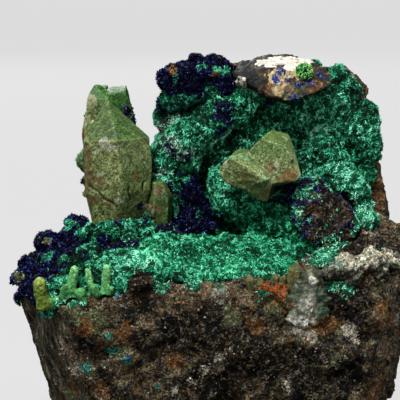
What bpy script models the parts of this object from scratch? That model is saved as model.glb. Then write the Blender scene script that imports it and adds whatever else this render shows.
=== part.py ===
"""A cabinet mineral specimen: quartz crystals with azurite and malachite on a block of host rock.

The specimen stands on the sawn underside of its rock, at z = 0, with its showy face towards -Y.
The rock is a broken block with a wall at its back. Quartz crystals stand on it, a green malachite
crust lines the wall and the hollow in front of it, and dark blue azurite crusts grow over that.

Each mineral is first made as a rough form, larger than what shows of it. The forms stand in the
order in which they grew, and each is then carved by every form that was there before it, with a
hair of clearance, so that neighbours meet along one contact surface and never overlap.
Sizes and places in this file are in millimetres; scale() turns them into Blender's metres.
"""

import math
import random

import bmesh
import bpy
from mathutils import Matrix, Vector, noise

MM = 0.001  # metres in a millimetre
CLEARANCE = 0.3  # gap between neighbouring minerals
LARGEST_SPREAD = 2.0  # how much further than the clearance a sharp corner may swell
SHIFT = (-3.4, 0.0, 0.0)  # moves the finished specimen's middle onto the origin

# Host rock: rings of corners of each broken block, one ring for each height
BASE_BLOCK = {
    -4: (
        (-17, -31), (10, -33), (40, -32), (50, -22), (52, 6), (40, 24), (5, 28), (-24, 22), (-40, 2),
        (-41, -10),
    ),
    19: (
        (-27, -33), (12, -35), (46, -34), (58, -20), (60, 12), (46, 30), (4, 33), (-34, 26), (-46, 2),
        (-47, -9),
    ),
    46: (
        (-37, -35), (-10, -35), (25, -35), (52, -32), (63, -12), (63, 16), (50, 34), (4, 35), (-54, 4),
        (-55, -12),
    ),
    49: (
        (-37, -34), (-9, -34), (24, -34), (46, -30), (60, -8), (60, 18), (44, 34), (0, 34), (-49, 0),
        (-47, -26),
    ),
    51: (
        (-24, -24), (-9, -24), (24, -24), (44, -22), (58, -6), (58, 18), (42, 33), (0, 33), (-30, 22),
        (-40, 0),
    ),
}
LIP_BLOCK = {
    46: ((-22, -35), (28, -35), (28, -26), (-20, -26)),
    54: ((-14, -34), (18, -34.5), (26, -30), (-12, -32)),
}
SHOULDER_BLOCK = {
    40: ((26, -34), (50, -33), (62, -12), (62, 20), (40, 20)),
    56.5: ((25, -29), (36, -31), (51, -30), (62, -18), (63, 12), (44, 14), (41, -3)),
    62: ((51, -6), (59, -8), (62, 2), (60, 14), (51, 12)),
}
WALL_BLOCK = {
    50: ((-18, 13), (58, 12), (61, 30), (30, 37), (-16, 32)),
    66: ((-14, 14), (58, 15), (60, 30), (30, 36), (-14, 31)),
    80: ((-11, 17), (54, 19), (57, 31), (26, 35), (-10, 30)),
    103: ((-8, 17), (10, 19), (50, 20), (53, 27), (24, 32), (-5, 27)),
    109: ((0, 18), (36, 19), (44, 23), (28, 28), (4, 25)),
}
CROWN_BLOCK = {
    99: ((-8, 7), (10, 9), (10, 20), (-7, 20)),
    108: ((-7, 9), (8, 9), (8, 21), (-5, 20)),
}
MOUND_BLOCK = {
    46: ((-41, -25), (-14, -27), (-2, -8), (-8, 16), (-36, 16), (-46, -4)),
    56: ((-37, -17), (-14, -19), (-6, -6), (-10, 14), (-34, 14), (-41, -2)),
    63: ((-32, -9), (-17, -11), (-12, 8), (-30, 8)),
}
FLANK_BLOCK = {
    44: ((-51, -16), (-40, -20), (-34, 6), (-50, 4)),
    53: ((-49, -8), (-42, -9), (-36, 4), (-46, 4)),
    61: ((-41, -5), (-36, -6), (-34, 2), (-40, 2)),
}
FRONT_KNOB = ((-17.0, -32.6, 53.2), (4.4, 3.8, 4.4))

# Quartz: (centre, radius) along each crystal's axis, and how far it is turned about that axis
LARGE_CRYSTAL = (
    ((-25.2, -5.4, 52), 4.6),
    ((-25.0, -5, 65.3), 8.1),
    ((-24.5, -4, 74), 10.9),
    ((-24.4, -3, 81.2), 11.3),
    ((-24.9, -2, 89.2), 10.95),
    ((-27.4, -1.5, 100.6), 0.0),
)
LARGE_TURN = -84
SIDE_CRYSTAL = (
    ((-29.0, 0.5, 50), 1.8),
    ((-33.0, 0.5, 90), 2.2),
    ((-33.2, 0.5, 97), 0.7),
)
REAR_LEFT = (
    (-33.6, 3, 100.4), (-31.4, 6, 104), (-28.2, 7, 103), (-27.6, 2.5, 100), (-28, 12, 103.2),
    (-33, 11, 101.6), (-35.0, 4, 84), (-30, 2.5, 50), (-27, 1.5, 50), (-27, 11, 50), (-30, 10, 50),
)
REAR_RIGHT = (
    (-27.6, 3, 101.6), (-22.4, 3, 102.4), (-27.3, 9, 103), (-22.2, 9, 103.6), (-20.3, 4, 96.5),
    (-19.4, 5, 88), (-19.2, 10, 90), (-28, 3, 50), (-20.5, 3, 50), (-20.5, 11, 50), (-28, 11, 50),
)
REAR_BULGE = ((-34.4, 3.5, 81.2), (2.2, 3.2, 3.8))
STUB_CRYSTAL = (
    ((-12.4, -5, 52), 2.8),
    ((-12.4, -5, 64), 4.0),
    ((-12.2, -5, 72.2), 4.2),
    ((-12.6, -5, 76.8), 2.1),
)
STUB_TURN = 12
TWIN_RIGHT = (
    (14.1, -6.4, 85.8), (17.9, -4.9, 89.4), (25, -4.7, 87.2), (29.7, -6.6, 78.9), (28.2, -7.1, 77.3),
    (21, -8.1, 76.6), (15.5, -7.8, 80), (21.7, 3, 90.8), (26.4, 4, 89.4), (27.4, 5, 87.7),
    (28.5, 3, 75), (29, 12, 78), (19, 12, 87), (20, 12, 73), (19, 2, 73),
)
TWIN_LEFT = (
    (8.4, -10, 84.9), (13.8, -11.5, 82.1), (19.1, -12, 78.5), (13.2, -6, 85.5), (14.1, -6.8, 85),
    (20.3, -11, 78.6), (5.8, -8, 81.3), (6, -8.5, 79), (7.6, -8.5, 76.9), (12.3, -9, 75.2),
    (18.1, -9, 75.5), (12, 9, 84), (20, 9, 83), (20, 9, 73), (13, 9, 74),
)
TWIN_FOOT = (
    (12.5, -7.5, 75.5), (21, -7.5, 76.5), (19.8, -5.5, 70.8), (18.2, -6, 71.2), (14, 6, 71), (23, 8, 71),
    (20, 8, 78),
)
CAP_BLOCK = (
    (9.4, 7, 107.2), (12.2, 14, 109.8), (20, 20, 111.6), (28, 21, 111.8), (36, 17, 109.4), (40, 12, 106.2),
    (39.6, 6, 104), (33, 2.5, 101.4), (25.6, 1.6, 99.6), (18.6, 3, 101.6), (15.6, 4.5, 105.8),
    (12.4, 6, 105.2), (18.6, 6.6, 109), (31.5, 7.6, 107.8), (14, 22, 101), (36, 22, 100), (26, 14, 97),
)
CHIP_BLOB = ((12.6, 5.5, 105.0), (1.9, 2.4, 2.0))
LENS_BLOBS = (
    ((31.0, -33.4, 53.6), (3.6, 2.0, 4.2)),
    ((30.0, -33.6, 48.0), (5.8, 2.2, 5.4)),
    ((27.4, -33.7, 43.6), (3.6, 1.8, 3.0)),
    ((32.8, -33.5, 45.0), (3.0, 1.9, 3.6)),
)
SEAM_BLOBS = (
    ((37.0, -28.6, 55.2), (4.4, 3.6, 2.2)),
    ((42.6, -27.6, 57.0), (4.6, 4.6, 2.0)),
    ((43.4, -30.0, 55.2), (2.6, 2.4, 2.6)),
    ((48.6, -26.6, 57.4), (4.4, 4.8, 2.6)),
    ((50.4, -28.6, 55.8), (2.8, 2.2, 2.2)),
    ((54.4, -23.4, 57.4), (4.0, 4.0, 2.2)),
)
SHARD_BLOCK = (
    (29.6, -4, 77.6), (34.9, -4.5, 78.4), (38.3, -6.5, 75.2), (39.9, -7.5, 71), (45.1, -6, 69),
    (48, -5, 64.2), (45.5, -10, 58.4), (37.4, -11.5, 57.4), (30.3, -9.5, 61), (26.8, -6, 68.8), (30, 8, 76),
    (46, 8, 70), (30, 8, 56), (47, 8, 56),
)

# Malachite fingers: foot, tip, radius
FINGERS = (
    ((-44.0, -31, 46.5), (-44.8, -32.0, 55.0), 1.9),
    ((-36.6, -32, 48.5), (-34.9, -32.4, 58.2), 1.3),
    ((-29.8, -32, 48.5), (-31.4, -31.4, 57.4), 1.0),
    ((-26.8, -31, 49.0), (-25.9, -31.2, 58.4), 1.25),
    ((-38.6, -33, 48.5), (-37.8, -33.7, 53.4), 0.9),
    ((-32.2, -33.5, 47.0), (-33.2, -34.4, 52.6), 1.7),
    ((-28.6, -32.5, 48.5), (-29.6, -34.2, 53.6), 1.3),
    ((-25.2, -32.5, 48.5), (-24.8, -33.4, 53.0), 0.95),
)
FINGER_BED = (((-43.6, -30.6, 47.2), (-37, -32.2, 47.8), (-27.2, -32.2, 48.4)), 2.0)
NODULE = ((31.2, 7.0, 107.6), 2.6)

# Malachite crust: sheets of lumps (top left, top right, bottom right, bottom left corner of the face,
# lumps across, lumps down, lump radius) and ridges of lumps (points of the ridge's face, radius)
CRUST_SHEETS = (
    (((12, 12, 99.5), (49, 15, 100.5), (48.5, 6.5, 60), (8, 7, 56)), 7, 7, 5.4),
    (((-8.5, 10, 96), (11, 11.5, 99.5), (8, 7, 56), (-10, 0, 64)), 5, 7, 5.2),
    (((-12, -6, 59.4), (42, 2, 56.6), (24, -25, 56.2), (-15, -31, 54.6)), 8, 6, 4.8),
    (((-31, -9, 63.4), (-9, -9, 63.4), (-13, -23.5, 59.6), (-36.5, -20, 58.2)), 5, 4, 4.4),
    (((-37, -20, 58.6), (-13, -23.5, 60.0), (-16, -31, 54.2), (-41, -29.5, 51.0)), 6, 3, 4.2),
    (((30, 16, 106), (43, 17, 105.5), (48, 15, 99), (34, 14, 98)), 4, 3, 4.0),
)
CRUST_RIDGES = (
    (((12, 8, 100), (1.5, 3.5, 93.6), (-5.9, -0.5, 88.8), (-12, -2.5, 83.6)), 4.4),
    (((-5.9, 0.5, 84), (-11, -3, 76), (-11.5, -3, 70)), 4.2),
    (((38, 7, 85), (44.5, 0, 74), (49.5, -0.5, 62.5)), 4.0),
    (((8, 3, 78), (9.5, 1, 70), (18, -1, 64.5), (29, -2, 61)), 4.6),
    (((-13, -21, 59.8), (-2, -17, 58.6), (10, -15, 57.8), (22.5, -16, 57.8)), 4.2),
    (((51, 14.5, 93), (52.6, 14, 85.5), (50.5, 13, 77)), 3.4),
    (((-31, -14.5, 62.8), (-23.7, -17.5, 63.6), (-16, -15, 64.6)), 3.4),
)

# Azurite crusts, in the same form
FLANK_SHEETS = (
    (((-52.5, -10, 53.8), (-34.5, -8, 66.4), (-34.5, -14, 62.6), (-50, -24, 49)), 6, 4, 3.8),
    (((-47, -17, 54.6), (-36, -16, 60.6), (-38, -22, 56.6), (-46, -25, 51.0)), 3, 3, 3.2),
)
FLANK_KNOBS = (
    ((-53.6, -12, 49.0), 3.0),
    ((-52.6, -15, 43.8), 2.6),
    ((-36.6, -7, 64.0), 3.4),
    ((-45.5, -9, 59.6), 3.4),
)
CROWN_SHEETS = (
    (((-9.0, 3.5, 105.6), (8.6, 7, 108.8), (9.0, 6.5, 102.0), (-8.0, 4.5, 98.6)), 6, 3, 3.8),
    (((-6.4, 19, 110.0), (7.5, 19, 110.6), (8.6, 9, 109.6), (-6.0, 7, 110.4)), 5, 3, 3.2),
)
CROWN_KNOBS = (
    ((-8.6, 8, 104.6), 3.8),
    ((-8.2, 14, 103.0), 3.8),
    ((-1.2, 11, 109.8), 3.3),
    ((-8.4, 8, 99.6), 2.8),
)
STREAK_RIDGES = (
    (((-7.8, -1.5, 82.4), (-3.6, -1.0, 76), (-2.8, -1.0, 69), (-5.6, -2.5, 63)), 4.2),
    (((-6.2, -3, 63.6), (1.5, -1.0, 62.6)), 3.6),
    (((6.4, 6.5, 95), (6.0, 5.5, 91.4)), 2.8),
)

EXACT_MISSES = (("malachite_crust", "host_shard"),)  # the cuts that the exact solver leaves undone
ROCK_VOXEL, CRUST_VOXEL, FINE_VOXEL = 1.2, 0.9, 0.45
ROCK_FACES, CRUST_FACES, AZURITE_FACES, SMALL_FACES = 2000, 2000, 380, 240


def scale(point):
    """A point or size in millimetres, in Blender's metres."""
    return Vector(point) * MM


def ring_points(rings):
    """The corners of a block that is given as rings, one for each height."""
    return [(x, y, z) for z, ring in rings.items() for x, y in ring]


def add_hull(shape, points):
    """Adds the convex solid that just holds the points."""
    corners = [shape.verts.new(scale(point)) for point in points]
    hull = bmesh.ops.convex_hull(shape, input=corners)
    inside = [item for item in hull["geom_interior"] if isinstance(item, bmesh.types.BMVert)]
    bmesh.ops.delete(shape, geom=inside, context="VERTS")


def add_lump(shape, centre, radii, detail=2):
    """Adds a round lump. The radii are one number, or three for an ellipsoid."""
    radii = Vector((radii,) * 3) if isinstance(radii, (int, float)) else Vector(radii)
    place = Matrix.Translation(scale(centre)) @ Matrix.Diagonal((*(radii * MM), 1.0))
    bmesh.ops.create_icosphere(shape, subdivisions=detail, radius=1.0, matrix=place)


def add_crystal(shape, stations, turn=0.0):
    """Adds a six-sided crystal with a hexagon round each station of its axis. Radius 0 is a point."""
    points = []
    axis = (Vector(stations[-1][0]) - Vector(stations[0][0])).normalized()
    across = axis.orthogonal().normalized()
    level = Vector((0, 0, 1)).cross(axis)
    if level.length > 1e-6:
        across = level.normalized()
    side = axis.cross(across)
    reference = math.atan2(across.y, across.x)
    for centre, radius in stations:
        corners = 6 if radius else 1
        for corner in range(corners):
            angle = math.radians(turn + 60 * corner) - reference
            points.append(Vector(centre) + radius * (across * math.cos(angle) + side * math.sin(angle)))
    add_hull(shape, points)


def add_sheet(shape, corners, across, down, radius, chance):
    """Adds lumps in an uneven grid behind a four-cornered face, so that they bulge out to it."""
    top_left, top_right, bottom_right, bottom_left = (Vector(corner) for corner in corners)
    outward = (bottom_left - top_left).cross(top_right - top_left).normalized()
    for row in range(down):
        v = row / (down - 1)
        for column in range(across):
            u = (column + 0.5 * (row % 2)) / (across - 0.5)
            face = top_left.lerp(top_right, u).lerp(bottom_left.lerp(bottom_right, u), v)
            size = radius * chance.uniform(0.85, 1.15)
            wander = Vector([chance.uniform(-0.2, 0.2) * radius for _ in range(3)])
            add_lump(shape, face + wander - outward * size, size)


def add_ridge(shape, points, radius, chance):
    """Adds lumps along a line of face points, half a lump back from them."""
    for start, end in zip(points, points[1:]):
        start, end = Vector(start), Vector(end)
        steps = max(2, round((end - start).length / (0.7 * radius)))
        for step in range(steps + 1):
            size = radius * chance.uniform(0.85, 1.15)
            back = Vector((0, 0.8 * size, -0.4 * size))
            add_lump(shape, start.lerp(end, step / steps) + back, size)


def object_from(shape, name):
    """Ends a bmesh as a new object in the scene, with its faces pointing out."""
    bmesh.ops.recalc_face_normals(shape, faces=shape.faces)
    mesh = bpy.data.meshes.new(name)
    shape.to_mesh(mesh)
    shape.free()
    thing = bpy.data.objects.new(name, mesh)
    bpy.context.scene.collection.objects.link(thing)
    return thing


def apply_modifiers(thing):
    """Makes the object's mesh what its modifiers make of it."""
    bpy.context.view_layer.update()
    graph = bpy.context.evaluated_depsgraph_get()
    finished = bpy.data.meshes.new_from_object(thing.evaluated_get(graph))
    thing.modifiers.clear()
    thing.data = finished


def fuse(thing, voxel):
    """Melts overlapping closed shapes in one mesh into one skin."""
    melt = thing.modifiers.new("Melt", "REMESH")
    melt.mode = "VOXEL"
    melt.voxel_size = voxel * MM
    apply_modifiers(thing)


def weather(thing, depth, grain, layers=3):
    """Roughens a dense mesh: moves it in and out by up to about depth, in bumps about grain wide."""
    shape = bmesh.new()
    shape.from_mesh(thing.data)
    moves = []
    for vertex in shape.verts:
        bump = noise.fractal(vertex.co / (grain * MM), 0.9, 2.2, layers)
        moves.append(vertex.normal * bump * depth * MM)
    for vertex, move in zip(shape.verts, moves):
        vertex.co += move
    shape.to_mesh(thing.data)
    shape.free()


def thin_out(thing, faces):
    """Brings a dense mesh down to about that many triangles."""
    triangles = sum(len(polygon.vertices) - 2 for polygon in thing.data.polygons)
    if triangles <= faces:
        return
    thin = thing.modifiers.new("Thin", "DECIMATE")
    thin.ratio = faces / triangles
    thin.use_collapse_triangulate = True
    apply_modifiers(thing)


def swollen(thing, by):
    """A copy of the object, grown outwards by that many millimetres."""
    shape = bmesh.new()
    shape.from_mesh(thing.data)
    moves = []
    for vertex in shape.verts:
        spread = min(vertex.calc_shell_factor(), LARGEST_SPREAD)
        moves.append(vertex.normal * spread * by * MM)
    for vertex, move in zip(shape.verts, moves):
        vertex.co += move
    return object_from(shape, thing.name + "_cutter")


def boxes_meet(first, second):
    """True if the two objects' boxes overlap."""
    spans = []
    for thing in (first, second):
        corners = [vertex.co for vertex in thing.data.vertices]
        spans.append([(min(c[axis] for c in corners), max(c[axis] for c in corners)) for axis in range(3)])
    return all(a[0] < b[1] and b[0] < a[1] for a, b in zip(*spans))


def boolean(thing, other, operation, solver="EXACT"):
    """Unites the object with the other one, or cuts the other one from it, and removes the other."""
    step = thing.modifiers.new(operation.title(), "BOOLEAN")
    step.operation = operation
    step.solver = solver
    step.object = other
    apply_modifiers(thing)
    bpy.data.objects.remove(other)


def united(name, shapes):
    """One object that is the union of the closed shapes."""
    whole, *others = [object_from(shape, name) for shape in shapes]
    for other in others:
        boolean(whole, other, "UNION")
    whole.name = name
    return whole


def keep_largest_body(thing):
    """Deletes the crumbs that a cut leaves loose from the main body."""
    shape = bmesh.new()
    shape.from_mesh(thing.data)
    unseen = set(shape.verts)
    bodies = []
    while unseen:
        found = {unseen.pop()}
        edge_of_search = list(found)
        while edge_of_search:
            vertex = edge_of_search.pop()
            for edge in vertex.link_edges:
                neighbour = edge.other_vert(vertex)
                if neighbour in unseen:
                    unseen.discard(neighbour)
                    found.add(neighbour)
                    edge_of_search.append(neighbour)
        bodies.append(found)
    largest = max(bodies, key=lambda body: box_volume(body))
    crumbs = [vertex for body in bodies if body is not largest for vertex in body]
    bmesh.ops.delete(shape, geom=crumbs, context="VERTS")
    shape.to_mesh(thing.data)
    shape.free()


def box_volume(vertices):
    """The volume of the box round the vertices."""
    sides = [max(v.co[axis] for v in vertices) - min(v.co[axis] for v in vertices) for axis in range(3)]
    return sides[0] * sides[1] * sides[2]


def saw_flat(thing):
    """Cuts the object off level at z = 0 and closes the cut with one flat face."""
    shape = bmesh.new()
    shape.from_mesh(thing.data)
    whole = [*shape.verts, *shape.edges, *shape.faces]
    down = (0, 0, -1)
    cut = bmesh.ops.bisect_plane(shape, geom=whole, plane_co=(0, 0, 0), plane_no=down, clear_outer=True)
    rim = [item for item in cut["geom_cut"] if isinstance(item, bmesh.types.BMEdge)]
    bmesh.ops.edgeloop_fill(shape, edges=rim)
    bmesh.ops.recalc_face_normals(shape, faces=shape.faces)
    shape.to_mesh(thing.data)
    shape.free()


def host_rock():
    """The broken block with its wall, crown, mound, flank and front knob, sawn flat below."""
    shape = bmesh.new()
    for block in (BASE_BLOCK, LIP_BLOCK, SHOULDER_BLOCK, WALL_BLOCK, CROWN_BLOCK, MOUND_BLOCK, FLANK_BLOCK):
        add_hull(shape, ring_points(block))
    add_lump(shape, *FRONT_KNOB, detail=3)
    rock = object_from(shape, "matrix")
    fuse(rock, ROCK_VOXEL)
    weather(rock, depth=1.5, grain=16)
    weather(rock, depth=0.7, grain=5)
    thin_out(rock, ROCK_FACES)
    saw_flat(rock)
    return rock


def quartz_pair():
    """The large pointed crystal, the broken ones behind it and the thin one at its left side."""
    shapes = [bmesh.new() for _ in range(5)]
    add_crystal(shapes[0], LARGE_CRYSTAL, LARGE_TURN)
    add_hull(shapes[1], REAR_LEFT)
    add_hull(shapes[2], REAR_RIGHT)
    add_crystal(shapes[3], SIDE_CRYSTAL)
    add_lump(shapes[4], *REAR_BULGE)
    return united("quartz_pair", shapes)


def quartz_stub():
    """The low crystal against the large one's right foot."""
    shape = bmesh.new()
    add_crystal(shape, STUB_CRYSTAL, STUB_TURN)
    return object_from(shape, "quartz_stub")


def quartz_twin():
    """Two crystals grown through each other, lying out from the middle of the wall."""
    shapes = [bmesh.new() for _ in range(3)]
    for shape, points in zip(shapes, (TWIN_RIGHT, TWIN_LEFT, TWIN_FOOT)):
        add_hull(shape, points)
    return united("quartz_twin", shapes)


def block_of(name, points):
    """A mineral whose rough form is one convex block."""
    shape = bmesh.new()
    add_hull(shape, points)
    return object_from(shape, name)


def blobs_of(name, blobs, depth, faces):
    """A mineral whose rough form is a few round lumps melted together."""
    shape = bmesh.new()
    for centre, radii in blobs:
        add_lump(shape, centre, radii, detail=3)
    thing = object_from(shape, name)
    fuse(thing, FINE_VOXEL)
    weather(thing, depth, grain=3)
    thin_out(thing, faces)
    return thing


def crust(name, sheets, ridges, knobs, voxel, faces, seed):
    """A lumpy crust, made of sheets and ridges of lumps melted together and roughened."""
    chance = random.Random(seed)
    shape = bmesh.new()
    for corners, across, down, radius in sheets:
        add_sheet(shape, corners, across, down, radius, chance)
    for points, radius in ridges:
        add_ridge(shape, points, radius, chance)
    for centre, radius in knobs:
        add_lump(shape, centre, radius)
    thing = object_from(shape, name)
    fuse(thing, voxel)
    weather(thing, depth=0.7, grain=4)
    thin_out(thing, faces)
    return thing


def malachite_fingers():
    """Round-ended fingers standing in a row on a low bed at the front left edge."""
    shape = bmesh.new()
    for foot, tip, radius in FINGERS:
        foot, tip = Vector(foot), Vector(tip)
        steps = max(3, round((tip - foot).length / (0.5 * radius)))
        for step in range(steps + 1):
            share = step / steps
            add_lump(shape, foot.lerp(tip - Vector((0, 0, radius)), share), radius * (1.12 - 0.12 * share))
    bed, radius = FINGER_BED
    for start, end in zip(bed, bed[1:]):
        for step in range(5):
            add_lump(shape, Vector(start).lerp(Vector(end), step / 4), radius)
    fingers = object_from(shape, "malachite_fingers")
    fuse(fingers, FINE_VOXEL)
    weather(fingers, depth=0.25, grain=2.5)
    thin_out(fingers, 2 * SMALL_FACES)
    return fingers


def rough_forms():
    """Every mineral's rough form, in the order in which they grew."""
    shape = bmesh.new()
    add_lump(shape, *NODULE, detail=3)
    nodule = object_from(shape, "malachite_nodule")
    return [
        blobs_of("quartz_lens", LENS_BLOBS, depth=0.7, faces=SMALL_FACES),
        blobs_of("quartz_seam", SEAM_BLOBS, depth=0.8, faces=SMALL_FACES),
        host_rock(),
        block_of("host_shard", SHARD_BLOCK),
        quartz_pair(),
        quartz_stub(),
        quartz_twin(),
        block_of("quartz_cap", CAP_BLOCK),
        blobs_of("quartz_chip", [CHIP_BLOB], depth=0.3, faces=SMALL_FACES // 3),
        nodule,
        malachite_fingers(),
        crust("malachite_crust", CRUST_SHEETS, CRUST_RIDGES, (), CRUST_VOXEL, CRUST_FACES, seed=3),
        crust("azurite_flank", FLANK_SHEETS, (), FLANK_KNOBS, CRUST_VOXEL, AZURITE_FACES, seed=5),
        crust("azurite_crown", CROWN_SHEETS, (), CROWN_KNOBS, CRUST_VOXEL, AZURITE_FACES, seed=7),
        crust("azurite_streak", (), STREAK_RIDGES, (), CRUST_VOXEL, AZURITE_FACES, seed=9),
    ]


def carve_in_order(forms):
    """Carves each form by the swollen copies of those that grew before it, and returns the minerals."""
    minerals = []
    for form in forms:
        mineral = form.copy()
        mineral.data = form.data.copy()
        bpy.context.scene.collection.objects.link(mineral)
        earlier = forms[: forms.index(form)]
        for other in earlier:
            if boxes_meet(form, other):
                solver = "MANIFOLD" if (form.name, other.name) in EXACT_MISSES else "EXACT"
                boolean(mineral, swollen(other, CLEARANCE), "DIFFERENCE", solver)
        keep_largest_body(mineral)
        minerals.append(mineral)
    for mineral, form in zip(minerals, forms):
        name = form.name
        bpy.data.objects.remove(form)
        mineral.name = name
    return minerals


# How the round-surfaced pieces' names start
LUMPY = ("malachite", "azurite", "quartz_chip", "quartz_lens", "quartz_seam")
# Each piece's kind of material, its colour and its roughness
MATERIALS = {
    "matrix": ("host_rock", (0.075, 0.052, 0.036), 0.75),
    "host_shard": ("host_rock", (0.075, 0.052, 0.036), 0.75),
    "quartz_pair": ("coated_quartz", (0.30, 0.36, 0.16), 0.5),
    "quartz_stub": ("coated_quartz", (0.30, 0.36, 0.16), 0.5),
    "quartz_twin": ("coated_quartz", (0.30, 0.36, 0.16), 0.5),
    "quartz_cap": ("milky_quartz", (0.72, 0.64, 0.50), 0.4),
    "quartz_chip": ("milky_quartz", (0.72, 0.64, 0.50), 0.4),
    "quartz_lens": ("grey_quartz", (0.42, 0.42, 0.38), 0.25),
    "quartz_seam": ("grey_quartz", (0.42, 0.42, 0.38), 0.25),
    "malachite_crust": ("malachite", (0.02, 0.32, 0.19), 0.55),
    "malachite_nodule": ("malachite", (0.02, 0.32, 0.19), 0.55),
    "malachite_fingers": ("pale_malachite", (0.25, 0.48, 0.16), 0.6),
    "azurite_flank": ("azurite", (0.012, 0.010, 0.12), 0.3),
    "azurite_crown": ("azurite", (0.012, 0.010, 0.12), 0.3),
    "azurite_streak": ("azurite", (0.012, 0.010, 0.12), 0.3),
}


def paint(minerals):
    """Gives each mineral its material, one for each kind, and shades the lumpy ones smooth."""
    for mineral in minerals:
        kind, colour, roughness = MATERIALS[mineral.name]
        material = bpy.data.materials.get(kind) or bpy.data.materials.new(kind)
        material.use_nodes = True
        shader = material.node_tree.nodes["Principled BSDF"]
        shader.inputs["Base Color"].default_value = (*colour, 1.0)
        shader.inputs["Roughness"].default_value = roughness
        shader.inputs["Metallic"].default_value = 0.0
        mineral.data.materials.clear()
        mineral.data.materials.append(material)
        smooth = mineral.name.startswith(LUMPY)
        mineral.data.polygons.foreach_set("use_smooth", [smooth] * len(mineral.data.polygons))


def main():
    for old in list(bpy.data.objects):
        bpy.data.objects.remove(old)
    minerals = carve_in_order(rough_forms())
    for mineral in minerals:
        mineral.data.transform(Matrix.Translation(scale(SHIFT)))
    paint(minerals)


main()
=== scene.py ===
"""Quartz with azurite: the looks of the specimen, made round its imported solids.

Every node's plain solid is replaced by a finely meshed skin of the same shape. Small
crystals are then sown over the skins: malachite spikes, stubby azurite and grains of
rock. Lengths are in millimetres in the specimen's own frame (+X right, +Y back, +Z up)
until a mesh, a light or the camera is made.
"""

import itertools
import math

import bmesh
import bpy
import numpy as np
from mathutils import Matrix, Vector
from mathutils.bvhtree import BVHTree


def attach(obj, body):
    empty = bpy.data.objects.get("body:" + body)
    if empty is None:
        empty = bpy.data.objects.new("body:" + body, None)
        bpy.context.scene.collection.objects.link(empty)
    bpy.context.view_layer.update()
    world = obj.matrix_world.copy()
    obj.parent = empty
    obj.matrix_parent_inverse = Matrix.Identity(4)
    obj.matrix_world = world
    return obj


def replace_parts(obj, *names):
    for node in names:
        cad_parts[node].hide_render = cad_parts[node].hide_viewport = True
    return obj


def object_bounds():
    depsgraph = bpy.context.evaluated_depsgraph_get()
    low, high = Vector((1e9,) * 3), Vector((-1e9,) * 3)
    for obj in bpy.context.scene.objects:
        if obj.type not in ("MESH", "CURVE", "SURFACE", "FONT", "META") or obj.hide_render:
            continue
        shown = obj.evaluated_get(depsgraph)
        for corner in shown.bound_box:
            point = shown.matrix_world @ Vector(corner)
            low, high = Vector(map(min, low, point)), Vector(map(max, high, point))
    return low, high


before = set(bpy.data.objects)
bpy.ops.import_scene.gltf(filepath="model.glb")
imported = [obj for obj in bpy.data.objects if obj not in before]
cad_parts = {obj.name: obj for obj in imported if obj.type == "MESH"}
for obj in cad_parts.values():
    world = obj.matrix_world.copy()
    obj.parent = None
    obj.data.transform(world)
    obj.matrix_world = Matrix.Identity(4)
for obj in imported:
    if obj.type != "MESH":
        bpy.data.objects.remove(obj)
cad_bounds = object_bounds()

MM = 0.001
LOWEST, HIGHEST = (np.array(corner) / MM for corner in cad_bounds)

# --- places on the specimen

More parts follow.
